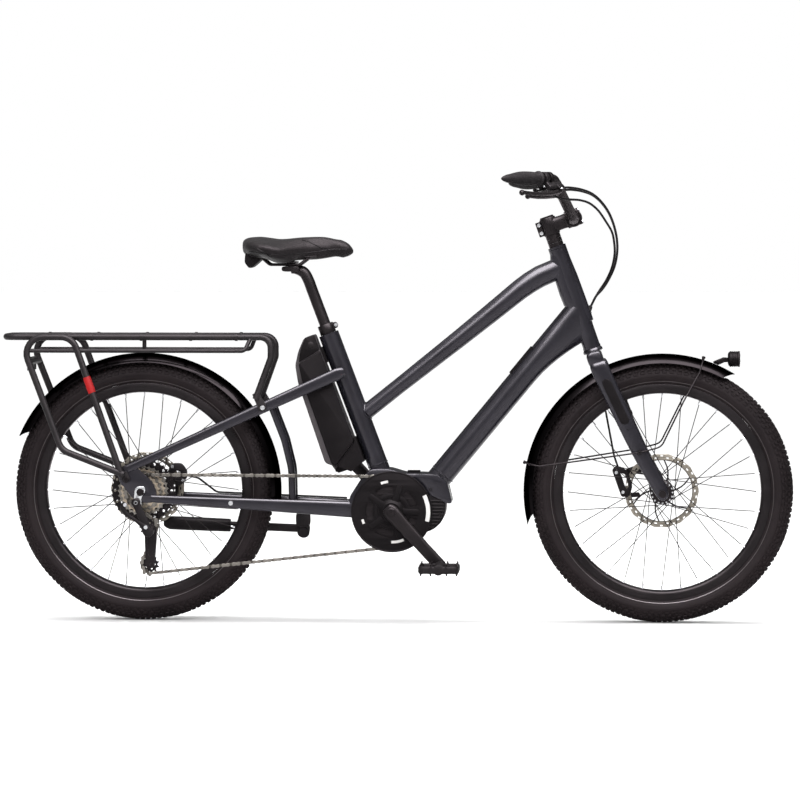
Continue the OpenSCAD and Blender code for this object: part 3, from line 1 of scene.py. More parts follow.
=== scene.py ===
# %% [markdown]
# # A cargo bicycle, dressed over its CAD frame
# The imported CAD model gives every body, joint and rough solid. This lesson loads it as a fixed frame and
# then builds the finer pieces over it: tubes, tyres, chain, saddle and all the small parts. An object is
# in metres, but its shape is drawn in millimetres, as a maker would draw it.

# %% Load the frame
import json
from math import acos, asin, atan2, cos, degrees, pi, radians, sin, sqrt, tan

import bmesh
import bpy
from mathutils import Matrix, Vector


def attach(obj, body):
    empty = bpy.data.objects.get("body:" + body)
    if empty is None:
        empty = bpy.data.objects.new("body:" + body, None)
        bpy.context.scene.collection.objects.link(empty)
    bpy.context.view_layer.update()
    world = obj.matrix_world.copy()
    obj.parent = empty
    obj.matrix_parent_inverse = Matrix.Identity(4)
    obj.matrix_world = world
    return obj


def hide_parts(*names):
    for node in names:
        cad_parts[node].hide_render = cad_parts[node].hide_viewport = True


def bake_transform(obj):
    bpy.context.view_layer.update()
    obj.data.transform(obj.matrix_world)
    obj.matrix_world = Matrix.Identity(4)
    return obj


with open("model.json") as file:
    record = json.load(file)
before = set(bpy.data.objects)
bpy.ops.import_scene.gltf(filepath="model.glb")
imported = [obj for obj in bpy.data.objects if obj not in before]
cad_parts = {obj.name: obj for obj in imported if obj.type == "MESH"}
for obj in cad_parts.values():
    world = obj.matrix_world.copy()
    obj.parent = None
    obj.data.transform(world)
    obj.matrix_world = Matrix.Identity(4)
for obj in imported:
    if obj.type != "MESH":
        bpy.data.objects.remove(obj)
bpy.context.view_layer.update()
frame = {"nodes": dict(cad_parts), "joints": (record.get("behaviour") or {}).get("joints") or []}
nodes = frame["nodes"]
joints = {j["name"]: j for j in frame["joints"]}
MM = 0.001

# %% [markdown]
# The joints already know where each axle is, so the lesson reads those places instead of repeating them.
# Two sloping lines carry the rest: the seat tube's and the steering axis. A place on one of them is given
# by how far it lies along the line and how far off it, which is how a frame drawing is dimensioned.

# %% Places
FORWARD, ACROSS, UPWARD = Vector((1, 0, 0)), Vector((0, 1, 0)), Vector((0, 0, 1))
SIDES = (1, -1)


def joint_place(name):
    return Vector(joints[name]["pos_m"]) / MM


REAR = joint_place("rear_wheel_spin")
FRONT = joint_place("front_wheel_spin")
CRANK = joint_place("crank_spin")
REAR.y = FRONT.y = CRANK.y = 0
HEAD_UP = Vector(joints["steering"]["axis"]).normalized()
HEAD_FWD = ACROSS.cross(HEAD_UP)
FORK_RAKE = 45
HEAD_FOOT = FRONT - FORK_RAKE * HEAD_FWD
SEAT_UP = Vector(joints["seat_height"]["axis"]).normalized()
SEAT_BACK = SEAT_UP.cross(ACROSS)
SEAT_FOOT = CRANK + Vector((-29, 0, 91))


def on_head(u, s, y=0):
    return HEAD_FOOT + u * HEAD_FWD + s * HEAD_UP + y * ACROSS


def on_seat(u, s, y=0):
    return SEAT_FOOT + u * SEAT_BACK + s * SEAT_UP + y * ACROSS


def near(place, x, z, y=0):
    return place + Vector((x, y, z))


def toward(angle):
    """A direction in the side view, by its degrees above straight ahead."""
    a = radians(angle)
    return Vector((cos(a), 0, sin(a)))


print("rear", REAR, "front", FRONT, "crank", CRANK)

# %% [markdown]
# The camera stands where the photographer stood: level with the front of the bar, eight and a half metres
# off the drive side, with a long lens. A long lens keeps the two wheels nearly the same size. The floor
# is a plain pale sheet. The sky is bright overhead and dim near the horizon, so the tubes get a light
# upper edge and dark flanks. Three soft boxes help it. The overhead one lights surfaces but leaves no
# mirror image of itself, and the gleam one does the opposite: it only draws the long highlights on the
# paint.

# %% Camera, floor and light
CAMERA_AT, CAMERA_AIM = (0.490, -8.5, 0.911), (0.0061, 0, 0.5358)
SENSOR_MM, LENS_MM, FAR_CLIP = 36, 158.4, 200
scene = bpy.context.scene
scene.view_settings.view_transform = "Standard"


def new_object(name, data):
    made = bpy.data.objects.new(name, data)
    scene.collection.objects.link(made)
    return made


def stand_at(thing, place, target):
    """Puts a camera or a lamp at a place and turns it to a target."""
    thing.location = place
    thing.rotation_euler = (Vector(target) - Vector(place)).to_track_quat("-Z", "Y").to_euler()


def lin(code):
    """An sRGB hex colour as linear RGBA."""
    parts = [int(code[i:i + 2], 16) / 255 for i in (1, 3, 5)]
    return tuple(p / 12.92 if p <= 0.04045 else ((p + 0.055) / 1.055) ** 2.4 for p in parts) + (1.0,)


def add(tree, kind, inputs=None, **settings):
    """A new node with its settings; an input is a value, or another node's socket to link."""
    node = tree.nodes.new(kind)
    for key, value in settings.items():
        setattr(node, key, value)
    for key, value in (inputs or {}).items():
        if isinstance(value, bpy.types.NodeSocket):
            tree.links.new(value, node.inputs[key])
        else:
            node.inputs[key].default_value = value
    return node


def blank_tree(owner):
    owner.use_nodes = True
    owner.node_tree.nodes.clear()
    return owner.node_tree


def spread(source, low, high, least, most):
    """Inputs of a Map Range node: what lies from low to high is spread from least to most."""
    return {0: source, 1: low, 2: high, 3: least, 4: most}


camera = new_object("camera", bpy.data.cameras.new("camera"))
stand_at(camera, CAMERA_AT, CAMERA_AIM)
camera.data.sensor_width = SENSOR_MM
camera.data.lens = LENS_MM
camera.data.clip_end = FAR_CLIP
scene.camera = camera

SKY_TOP = (0, -0.3, 0.95)
SKY_DIM, SKY_BRIGHT = 0.12, 1.55
SKY_LOW, SKY_HIGH = 0.1, 0.95
scene.world = bpy.data.worlds.new("studio_sky")
tree = blank_tree(scene.world)
outlook = add(tree, "ShaderNodeTexCoord").outputs["Generated"]
height = add(tree, "ShaderNodeVectorMath", {0: outlook, 1: SKY_TOP}, operation="DOT_PRODUCT").outputs["Value"]
rise = add(tree, "ShaderNodeMapRange", spread(height, SKY_LOW, SKY_HIGH, SKY_DIM, SKY_BRIGHT),
           interpolation_type="SMOOTHSTEP").outputs[0]
seen = add(tree, "ShaderNodeLightPath").outputs["Is Camera Ray"]
level = add(tree, "ShaderNodeMix", {0: seen, 2: rise, 3: 1.0}).outputs[0]
light = add(tree, "ShaderNodeBackground", {"Color": lin("#ffffff"), "Strength": level}).outputs[0]
add(tree, "ShaderNodeOutputWorld", {"Surface": light})

FLOOR_HALF, FLOOR_Z = 60, -0.0005
floor_mesh = bpy.data.meshes.new("studio_floor")
corners = [(x * FLOOR_HALF, y * FLOOR_HALF, FLOOR_Z) for x, y in ((-1, -1), (1, -1), (1, 1), (-1, 1))]
floor_mesh.from_pydata(corners, [], [(0, 1, 2, 3)])
new_object("studio_floor", floor_mesh)
paper = bpy.data.materials.new("pale_studio_paper")
tree = blank_tree(paper)
sheet = add(tree, "ShaderNodeBsdfDiffuse", {"Color": lin("#fbfbfb")})
add(tree, "ShaderNodeOutputMaterial", {"Surface": sheet.outputs[0]})
floor_mesh.materials.append(paper)

# Place, target, width and depth, watts, and the kind of light that the box holds back
SOFT_BOXES = {
    "overhead_box": ((0.0, 0.1, 3.8), (0, 0, 0.5), (4.4, 0.6), 170, "visible_glossy"),
    "gleam_box": ((0.45, -1.9, 3.3), (0.45, 0, 0.6), (4.2, 2.6), 930, "visible_diffuse"),
    "side_box": ((-1.5, -5.0, 3.4), (0, 0, 0.5), (2.5, 1.5), 60, None),
}
for name, (place, target, (wide, deep), watts, held_back) in SOFT_BOXES.items():
    lamp = bpy.data.lights.new(name, "AREA")
    lamp.shape = "RECTANGLE"
    lamp.size = wide
    lamp.size_y = deep
    lamp.energy = watts
    box = new_object(name, lamp)
    stand_at(box, place, target)
    if held_back:
        setattr(box, held_back, False)
print("stage ready")

# %% [markdown]
# ## Finishes
# Every finish starts as one small recipe: two close colours that drift into each other over some
# centimetres, a roughness that drifts with them, and a fine bump at the grain of the real surface. The
# patterns read Object coordinates, which are metres here, so a scale of 1000 divided by a size in
# millimetres gives a pattern of that size.

# %% One recipe for every finish
DRIFT_MM = 70
DRIFT_LOW, DRIFT_HIGH = 0.3, 0.7
WARM_TINT = (1.0, 0.88, 0.93, 1.0)
COOL_TINT = (0.98, 0.92, 1.0, 1.0)
DARK_TINT = (0.1, 0.09, 0.09, 1.0)


def finish(name, dark, pale, rough, grain_mm, bump_mm, metal=0.0, gleam=0.11, tint=WARM_TINT, cells=False,
           **more):
    """A material named for what it is. rough is (least, most); more sets further sockets of the shader."""
    material = bpy.data.materials.new(name)
    tree = blank_tree(material)
    place = add(tree, "ShaderNodeTexCoord").outputs["Object"]
    slow = {"Vector": place, "Scale": 1000 / DRIFT_MM, "Detail": 4.0}
    drift = add(tree, "ShaderNodeTexNoise", slow).outputs[0]
    kind = "ShaderNodeTexVoronoi" if cells else "ShaderNodeTexNoise"
    grain = add(tree, kind, {"Vector": place, "Scale": 1000 / grain_mm}).outputs[0]
    part = add(tree, "ShaderNodeMapRange", spread(drift, DRIFT_LOW, DRIFT_HIGH, 0.0, 1.0)).outputs[0]
    colour = add(tree, "ShaderNodeMix", {0: part, 6: lin(dark), 7: lin(pale)}, data_type="RGBA").outputs[2]
    dull = add(tree, "ShaderNodeMapRange", spread(drift, DRIFT_LOW, DRIFT_HIGH, *rough)).outputs[0]
    rise = {"Height": grain, "Strength": 1.0, "Distance": bump_mm * MM}
    relief = add(tree, "ShaderNodeBump", rise).outputs[0]
    surface = {"Base Color": colour, "Roughness": dull, "Normal": relief, "Metallic": metal,
               "Specular IOR Level": gleam, "Specular Tint": tint}
    surface.update({key.replace("_", " "): value for key, value in more.items()})
    skin = add(tree, "ShaderNodeBsdfPrincipled", surface)
    add(tree, "ShaderNodeOutputMaterial", {"Surface": skin.outputs[0]})
    return material


# Powder coat baked on aluminium: satin, with an orange-peel skin about 2 mm across
powder_coat = finish("satin_powder_coat", "#17161b", "#1d1c22", (0.21, 0.27), 2.0, 0.015, gleam=0.3,
                     tint=COOL_TINT)
# Black powder coat on the rack: drier and a little grainier than the frame's
rack_coat = finish("dry_black_powder_coat", "#191819", "#222021", (0.42, 0.52), 1.2, 0.04)
# Painted sheet aluminium: deep black with a long clear highlight along the crown
fender_paint = finish("gloss_black_paint", "#0d0b0c", "#110f10", (0.14, 0.2), 3.0, 0.006, 1.0, tint=DARK_TINT)
# Bead-blasted and anodised aluminium: a fine dull black with a soft metal sheen
anodised = finish("black_anodised_aluminium", "#171516", "#1f1c1d", (0.34, 0.42), 0.8, 0.012, 0.35)
# Pressure-cast aluminium with a dark coat: slightly sandy
cast_alloy = finish("cast_and_coated_aluminium", "#0f0e0f", "#181617", (0.45, 0.55), 1.6, 0.05, 0.2)
# Injection-moulded ABS with a spark-eroded grain: flat black that scatters light
moulded = finish("moulded_black_abs", "#0a090a", "#100e0f", (0.46, 0.56), 0.9, 0.03, gleam=0.06)
# The battery's rear spine: the same plastic left paler by a coarser mould
spine_plastic = finish("moulded_grey_abs", "#3c393b", "#484446", (0.42, 0.52), 1.1, 0.03)
# Glass-filled nylon of pedals and guide wheels
nylon = finish("glass_filled_nylon", "#0e0d0e", "#151314", (0.5, 0.62), 0.7, 0.03)
# Carbon-black tyre rubber: dull and faintly brown
tyre_rubber = finish("vulcanised_tyre_rubber", "#181415", "#211c1d", (0.62, 0.76), 1.1, 0.06, gleam=0.06)
# The thin pale band round a tyre: a painted highlight in a paler colour than the rubber, with a glossier skin
# as well
painted_highlight_band = finish("painted_highlight_tyre_band", "#393636", "#454141", (0.3, 0.38), 0.5, 0.02, gleam=0.32)
# Moulded grip rubber: soft and dry
grip_rubber = finish("moulded_grip_rubber", "#111011", "#181718", (0.6, 0.72), 0.8, 0.05)
# Embossed vinyl stretched on foam: small rounded cells about 1.5 mm across
saddle_vinyl = finish("embossed_saddle_vinyl", "#121011", "#191617", (0.44, 0.54), 1.5, 0.09, gleam=0.08,
                      cells=True, Sheen_Weight=0.06)
# Extruded hose jacket: smooth and slightly shiny
jacket = finish("extruded_cable_jacket", "#0a0a0b", "#101011", (0.34, 0.42), 1.5, 0.01)
# Stainless steel, turned or stamped: bright, with fine drifting brush marks
stainless = finish("turned_stainless_steel", "#b4b5b8", "#c6c7c9", (0.2, 0.32), 0.6, 0.008, 1.0)
# Drawn spoke wire, blackened
spoke_wire = finish("blackened_spoke_wire", "#0d0c0c", "#141212", (0.3, 0.38), 0.6, 0.005, 0.3)
# Nickel-plated chain plates
nickel = finish("nickel_plated_steel", "#615d59", "#75716c", (0.25, 0.36), 0.7, 0.008, 1.0)
# Plain inner plates and rollers: duller and darker, so the links read one by one
roller_steel = finish("oiled_roller_steel", "#3a3734", "#4a4642", (0.32, 0.42), 0.7, 0.01, 1.0)
# Ground disc steel: browned by heat, with fine marks
disc_steel = finish("ground_disc_steel", "#6d6861", "#827c73", (0.3, 0.4), 0.5, 0.008, 1.0)
# Champagne-tinted plating of the sprockets
champagne = finish("champagne_plated_steel", "#877c6f", "#9c9081", (0.28, 0.38), 0.7, 0.008, 1.0)
# Dark phosphated steel of the chainring, the saddle rails and the dark bolts
dark_steel = finish("black_phosphated_steel", "#151314", "#1f1c1d", (0.36, 0.46), 0.8, 0.015, 0.6)
# Red silicone of the band on the rack leg
red_rubber = finish("red_silicone_rubber", "#8e1416", "#a61b1b", (0.5, 0.6), 1.0, 0.03)
# Pale screen print
pale_print = finish("pale_screen_print", "#d8d6d4", "#e4e2e0", (0.4, 0.5), 0.6, 0.01)
# Clear polycarbonate lens
lens_plastic = finish("clear_polycarbonate", "#f2f4f5", "#fbfcfc", (0.04, 0.08), 2.0, 0.004,
                      Transmission_Weight=0.85, IOR=1.58)
# Vacuum-plated reflector behind the lens
mirror_plate = finish("vacuum_plated_reflector", "#c9cbce", "#dcdee0", (0.06, 0.12), 2.0, 0.01, 1.0)
print("finishes", len(bpy.data.materials))

# %% [markdown]
# A CAD node whose shape is right stays in view and only takes a finish. Every node starts with one here,
# and those that a finer piece stands for are hidden later.

# %% Finishes on the CAD nodes
def dress(node, material):
    mesh = nodes[node].data
    mesh.materials.clear()
    mesh.materials.append(material)


for name in nodes:
    dress(name, anodised)
print("dressed", len(nodes), "nodes")

# %% [markdown]
# ## Drawing in code
# Nearly every piece is a skin over a row of rings. A tube is one ring carried along a path, a turned part
# is a profile carried round an axis, and a blade is a row of different rings. So one function skins
# rings, and the others only decide where the rings go. A second way, for stamped plates, fills a flat
# outline with holes and gives it a thickness and a rounded edge.

# %% Rings and skins
# An empty drawing, in millimetres
blank = bmesh.new


def skin(shape, rings, loop=False):
    """Skins a row of rings, which are lists of points with the same count."""
    rows = [[shape.verts.new(p) for p in ring] for ring in rings]
    count = len(rows[0])
    for low, high in zip(rows, rows[1:] + rows[:1] if loop else rows[1:]):
        for k in range(count):
            shape.faces.new((low[k], low[(k + 1) % count], high[(k + 1) % count], high[k]))
    if not loop:
        shape.faces.new(rows[0])
        shape.faces.new(rows[-1])
    return shape


def oval(wide, high, power=2.0, sides=24):
    """A flat ring: an ellipse for power 2, a softened box for 4 and more."""
    ring = []
    for k in range(sides):
        a = 2 * pi * (k + 0.5) / sides
        c, s = cos(a), sin(a)
        reach = (abs(c) ** power + abs(s) ** power) ** (-1 / power)
        ring.append((wide / 2 * c * reach, high / 2 * s * reach))
    return ring


def ovals(sizes, sides=24):
    """One ring for each (width, height, power)."""
    return [oval(*size, sides=sides) for size in sizes]


def rod(radius, sides=40):
    """A round ring, which a sweep makes a rod or a tube."""
    return oval(2 * radius, 2 * radius, sides=sides)


def rounded_ends(placed, radius):
    """Swaps the first and last ring of a sweep for three smaller and smaller ones."""
    head, tail = [], []
    for a in (0.0, 0.5, 1.0):
        inset, back = radius * (1 - sin(a)), radius * (1 - cos(a))
        for row, spot, sign in ((head, placed[0], 1), (tail, placed[-1], -1)):
            p, along, first, second, ring = spot
            kept = 1 - inset / max(max(abs(a), abs(b)) for a, b in ring)
            small = [(a * kept, b * kept) for a, b in ring]
            row.append((p + sign * along * back, along, first, second, small))
    return head + placed[1:-1] + tail[::-1]


def sweep(shape, path, rings, side=ACROSS, loop=False, round_ends=0.0):
    """Carries a ring, or one for each point, along a path; side is the ring's first axis at the start."""
    path = [Vector(p) for p in path]
    last = len(path) - 1
    if isinstance(rings[0][0], (int, float)):
        rings = [rings] * (last + 1)
    placed = []
    for i, p in enumerate(path):
        after = path[(i + 1) % (last + 1)] if loop else path[min(i + 1, last)]
        along = (after - path[i - 1 if loop else max(i - 1, 0)]).normalized()
        side = (side - side.dot(along) * along).normalized()
        placed.append((p, along, side, along.cross(side), rings[i]))
    if round_ends:
        placed = rounded_ends(placed, round_ends)
    points = [[p + a * first + b * second for a, b in ring] for p, along, first, second, ring in placed]
    return skin(shape, points, loop)


NEARLY_ACROSS = 0.9
LEAST_R = 0.001


def spin(shape, profile, centre, axis=ACROSS, steps=48, ring=False):
    """Turns a profile of (radius, place along the axis) round an axis; ring closes the profile itself."""
    if abs(axis.y) > NEARLY_ACROSS:
        first = FORWARD
        second = first.cross(axis)
    else:
        first = axis.orthogonal().normalized()
        second = axis.cross(first)
    rows = []
    for k in range(steps):
        a = 2 * pi * k / steps
        out = cos(a) * first + sin(a) * second
        rows.append([centre + along * axis + max(r, LEAST_R) * out for r, along in profile])
    if ring:
        return skin(shape, rows, loop=True)
    return skin(shape, [[row[j] for row in rows] for j in range(len(profile))])


STRAIGHT = 0.01


def bent(points, bend, steps=8):
    """A path of straight runs with a round bend at each corner."""
    points = [Vector(p) for p in points]
    path = [points[0]]
    for a, b, c in zip(points, points[1:], points[2:]):
        u, v = (b - a).normalized(), (c - b).normalized()
        angle = u.angle(v)
        if angle < STRAIGHT:
            path.append(b)
            continue
        inward = (v - u.dot(v) * u).normalized()
        middle = b - bend * tan(angle / 2) * u + bend * inward
        for k in range(steps + 1):
            t = angle * k / steps
            path.append(middle - bend * cos(t) * inward + bend * sin(t) * u)
    return path + [points[-1]]


def flowing(points, steps=8):
    """A smooth path through points."""
    points = [Vector(p) for p in points]
    ends = [2 * points[0] - points[1]] + points + [2 * points[-1] - points[-2]]
    path = []
    for p, a, b, q in zip(ends, ends[1:], ends[2:], ends[3:]):
        for k in range(steps):
            t = k / steps
            path.append(0.5 * (2 * a + (b - p) * t + (2 * p - 5 * a + 4 * b - q) * t * t
                               + (3 * a - p - 3 * b + q) * t ** 3))
    return path + [points[-1]]


# %% Flat outlines and plates
def polar(centre, spots):
    """Flat points in the side view, from (radius, degrees) about a centre."""
    turned = [(r, radians(d)) for r, d in spots]
    return [(centre.x + r * cos(a), centre.z + r * sin(a)) for r, a in turned]


def circle(centre, radius, sides=32, start=0.0, turn=360.0):
    """A full circle, or an arc that also has its last point."""
    count = sides if turn == 360 else sides + 1
    return polar(centre, [(radius, start + turn * k / sides) for k in range(count)])


def hole_ring(centre, radius, count, size, sides, phase=0.0):
    """Round holes, evenly spaced about a centre."""
    spots = polar(centre, [(radius, 360 * (k + phase) / count) for k in range(count)])
    return [circle(Vector((x, 0, z)), size, sides) for x, z in spots]


def two_drums(a, a_radius, b, b_radius, sides=12):
    """The outline of a band drawn tight round two circles."""
    gap = b - a
    tilt = degrees(atan2(gap.z, gap.x))
    open_by = degrees(acos((a_radius - b_radius) / gap.length))
    round_a = circle(a, a_radius, sides, tilt + open_by, 360 - 2 * open_by)
    return round_a + circle(b, b_radius, sides, tilt - open_by, 2 * open_by)


def eased(points, radius, steps=4):
    """A closed flat outline with its corners rounded."""
    if not radius:
        return points
    result = []
    count = len(points)
    for i in range(count):
        a, b, c = (Vector(points[j % count]) for j in (i - 1, i, i + 1))
        reach = min(radius, (a - b).length * 0.45, (c - b).length * 0.45)
        start, end = b + (a - b).normalized() * reach, b + (c - b).normalized() * reach
        for k in range(steps + 1):
            t = k / steps
            result.append(tuple(start * (1 - t) ** 2 + 2 * b * t * (1 - t) + end * t * t))
    return result


def drawn(place, points, ease=0.0):
    """An outline given about a place, with its corners rounded."""
    return eased([(place.x + x, place.z + z) for x, z in points], ease)


def final_mesh(holder):
    """The mesh that an object's curve or modifiers give."""
    return bpy.data.meshes.new_from_object(holder.evaluated_get(bpy.context.evaluated_depsgraph_get()))


def plate(shape, outlines, start, end, edge=1.0):
    """A plate in the side view between two places across; outlines after the first are holes in it."""
    flat = bpy.data.curves.new("flat", "CURVE")
    flat.dimensions = "2D"
    flat.fill_mode = "BOTH"
    flat.extrude = abs(end - start) / 2 - edge
    flat.bevel_depth = edge
    flat.bevel_resolution = 1
    flat.offset = -edge
    for i, outline in enumerate(outlines):
        area = sum(a[0] * b[1] - b[0] * a[1] for a, b in zip(outline, outline[1:] + outline[:1]))
        points = outline if (area > 0) == (i == 0) else outline[::-1]
        spline = flat.splines.new("POLY")
        spline.points.add(len(points) - 1)
        for spot, (x, z) in zip(spline.points, points):
            spot.co = (x, z, 0, 1)
        spline.use_cyclic_u = True
    holder = new_object("flat", flat)
    mesh = final_mesh(holder)
    mesh.transform(Matrix.Translation((0, (start + end) / 2, 0)) @ Matrix.Rotation(pi / 2, 4, "X"))
    shape.from_mesh(mesh)
    bpy.data.objects.remove(holder)
    bpy.data.curves.remove(flat)
    bpy.data.meshes.remove(mesh)
    return shape


# %% From a drawing to a piece
WELD_MM, SLIVER_MM = 0.005, 0.001


def piece(name, mesh, material, body, slot, *stands_for, sharp=35):
    """A finished object from a mesh in metres: shaded, dressed and riding on its body."""
    mesh.name = name
    mesh.shade_smooth()
    mesh.set_sharp_from_angle(angle=radians(sharp))
    mesh.materials.clear()
    mesh.materials.append(material)
    made = new_object(name, mesh)
    if body:
        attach(made, body)
    if stands_for:
        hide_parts(*stands_for)
    return made


def in_metres(name, shape):
    """Turns a drawing's faces outwards and makes it a mesh in metres."""
    bmesh.ops.recalc_face_normals(shape, faces=shape.faces)
    bmesh.ops.scale(shape, vec=(MM, MM, MM), verts=shape.verts)
    mesh = bpy.data.meshes.new(name)
    shape.to_mesh(mesh)
    shape.free()
    return mesh


def settle(name, shape, material, body, slot, *stands_for, sharp=35):
    """Closes a drawing in millimetres and makes it a piece."""
    bmesh.ops.remove_doubles(shape, verts=shape.verts, dist=WELD_MM)
    bmesh.ops.dissolve_degenerate(shape, dist=SLIVER_MM, edges=shape.edges)
    return piece(name, in_metres(name, shape), material, body, slot, *stands_for, sharp=sharp)


# %% [markdown]
# Tread blocks, spoke nipples, bolt heads and chain links all repeat along a line. One Geometry Nodes tree
# does that for all of them: it turns a drawn line into a curve, drops evenly spaced points on it, and
# puts a copy of a small piece on each. The copy's X follows the line and its Z follows the axle.

# %% A node tree that repeats a piece along a path
repeat_tree = bpy.data.node_groups.new("repeat_along_a_path", "GeometryNodeTree")
SOCKETS = {
    "Geometry": "NodeSocketGeometry", "Piece": "NodeSocketObject", "Count": "NodeSocketInt",
    "Axle": "NodeSocketVector", "Finish": "NodeSocketMaterial",
}
for socket_name, kind in SOCKETS.items():
    repeat_tree.interface.new_socket(socket_name, in_out="INPUT", socket_type=kind)
repeat_tree.interface.new_socket("Geometry", in_out="OUTPUT", socket_type="NodeSocketGeometry")
given = add(repeat_tree, "NodeGroupInput").outputs
line = add(repeat_tree, "GeometryNodeMeshToCurve", {0: given["Geometry"]}).outputs[0]
spots = add(repeat_tree, "GeometryNodeCurveToPoints", {"Curve": line, "Count": given["Count"]},
            mode="COUNT").outputs
turn = add(repeat_tree, "FunctionNodeAxesToRotation", {0: spots["Tangent"], 1: given["Axle"]},
           primary_axis="X", secondary_axis="Z").outputs[0]
copied = add(repeat_tree, "GeometryNodeObjectInfo", {0: given["Piece"]}).outputs["Geometry"]
laid = add(repeat_tree, "GeometryNodeInstanceOnPoints",
           {"Points": spots["Points"], "Instance": copied, "Rotation": turn}).outputs[0]
solid = add(repeat_tree, "GeometryNodeRealizeInstances", {0: laid}).outputs[0]
coated = add(repeat_tree, "GeometryNodeSetMaterial", {"Geometry": solid, "Material": given["Finish"]})
add(repeat_tree, "NodeGroupOutput", {0: coated.outputs[0]})


def repeat(small, paths, count, material, loop=True):
    """Copies of a small drawing along each path, as one mesh in metres. All is given in millimetres."""
    points, edges = [], []
    for path in paths:
        first = len(points)
        points += [Vector(p) * MM for p in path]
        edges += [(i, i + 1) for i in range(first, len(points) - 1)]
        if loop:
            edges.append((len(points) - 1, first))
    line_mesh = bpy.data.meshes.new("line")
    line_mesh.from_pydata(points, edges, [])
    holder, pattern = new_object("line", line_mesh), new_object("small", in_metres("small", small))
    repeater = holder.modifiers.new("repeat", "NODES")
    repeater.node_group = repeat_tree
    values = {"Piece": pattern, "Count": count, "Axle": tuple(ACROSS), "Finish": material}
    for item in repeat_tree.interface.items_tree:
        if item.in_out == "INPUT" and item.name in values:
            repeater[item.identifier] = values[item.name]
    mesh = final_mesh(holder)
    holder.modifiers.clear()
    for used in (holder, pattern):
        bpy.data.objects.remove(used)
    return mesh


def joined(meshes):
    """Several meshes in metres as one."""
    shape = blank()
    for mesh in meshes:
        shape.from_mesh(mesh)
        bpy.data.meshes.remove(mesh)
    whole = bpy.data.meshes.new("joined")
    shape.to_mesh(whole)
    shape.free()
    return whole


print("helpers ready")

# %% [markdown]
# ## Wheels
# A tyre is a turned ring with rows of small rubber blocks. The blocks could be a bump in the material,
# but then the outline against the white floor would stay smooth, so they are real: each row is a circle
# of blocks that lean with the tyre's round section. A thin band round each side wall is painted paler
# as a painted highlight.

# %% Tyres
WHEELS = (("front", FRONT, "front_wheel"), ("rear", REAR, "rear_wheel"))
HOOP_STEPS = 160
TYRE_MID, WALL_R, INNER_R, TREAD_BASE = 285.5, 29.3, 25.5, 27.2
BEAD_ANGLE, TREAD_EDGE, TREAD_FALL = 144, 92, 12
SIDE_RIDGES, RIDGE_HALF, RIDGE_TALL = (100, 112), 2.1, 0.5
# Degrees from the crown: length, width and count of a row's blocks
ROWS = {0: (9.5, 7.0, 138), 16: (8.0, 6.2, 152), 32: (9.0, 6.4, 134), 48: (8.0, 6.6, 142),
        64: (9.0, 6.4, 124), 80: (11.5, 5.6, 104)}
ROW_PITCH, SIDE_SHIFT = 16, 0.4
# Height above the tread's base, and the part of its length and width that a block keeps there
BLOCK_STEPS = ((0.0, 1.0), (1.944, 0.89), (2.7, 0.78))
BLOCK_CORNERS = ((-1, -1), (1, -1), (1, 1), (-1, 1))
BAND_ANGLE, BAND_HALF, BAND_LOW, BAND_TOP = 127, 1.5, 29.0, 29.62


def around(centre, radius, y, steps=180, start=0.0):
    angles = [start + 2 * pi * k / steps for k in range(steps)]
    return [centre + Vector((radius * cos(a), y, radius * sin(a))) for a in angles]


def on_tyre(radius, angle, side=1):
    """Where a place on the tyre's round section lies: radius from the axle, and across."""
    a = radians(angle)
    return TYRE_MID + radius * cos(a), side * radius * sin(a)


def carcass_r(angle):
    """Radius of the tyre's section at an angle from its crown: lower under the tread, ridged on the side."""
    fall = max(0.0, min(1.0, (TREAD_EDGE - abs(angle)) / TREAD_FALL))
    ridge = sum(RIDGE_TALL for at in SIDE_RIDGES if abs(abs(angle) - at) < RIDGE_HALF)
    return WALL_R - (WALL_R - TREAD_BASE) * fall + ridge


def tread_block(long, wide, lean):
    """A block with tapered sides: X along, Y up, Z across, leaned about X."""
    turned = Matrix.Rotation(lean, 3, "X")
    return skin(blank(), [[turned @ Vector((x * long / 2 * part, height, z * wide / 2 * part))
                               for x, z in BLOCK_CORNERS] for height, part in BLOCK_STEPS])


def make_tyre(name, centre, body, node):
    section = [on_tyre(carcass_r(a), a) for a in range(-BEAD_ANGLE, BEAD_ANGLE + 1, 4)]
    section += [on_tyre(INNER_R, a) for a in range(BEAD_ANGLE - 4, -BEAD_ANGLE, -20)]
    carcass = spin(blank(), section, centre, steps=HOOP_STEPS, ring=True)
    settle(name, carcass, tyre_rubber, body, "tyre", node, sharp=60)
    rows = []
    for angle, (long, wide, count) in ROWS.items():
        for side in SIDES if angle else (1,):
            shift = pi / count * (angle // ROW_PITCH % 2 + SIDE_SHIFT * (side < 0))
            ring = around(centre, *on_tyre(TREAD_BASE, angle, side), start=shift)
            block = tread_block(long, wide, radians(angle) * side)
            rows.append(repeat(block, [ring], count, tyre_rubber))
    piece(name + "_tread", joined(rows), tyre_rubber, body, "tyre", node, sharp=25)
    # Each band is painted paler than the rubber: a painted highlight round the side wall
    bands = blank()
    for side in SIDES:
        corners = ((BAND_LOW, -1), (BAND_TOP, -1), (BAND_TOP, 1), (BAND_LOW, 1))
        section = [on_tyre(r, BAND_ANGLE + BAND_HALF * end, side) for r, end in corners]
        spin(bands, section, centre, steps=HOOP_STEPS, ring=True)
    settle(name + "_band", bands, painted_highlight_band, body, "tyre")


for name, centre, body in WHEELS:
    make_tyre(name + "_tyre_carcass", centre, body, name + "_tyre")
print("tyres made")

# %% [markdown]
# The rim is an extruded aluminium box, rolled into a hoop: a rounded inner face and two flat flanks.
# Steel nipples stand out of it where each spoke ends, and a valve sits between two of them.

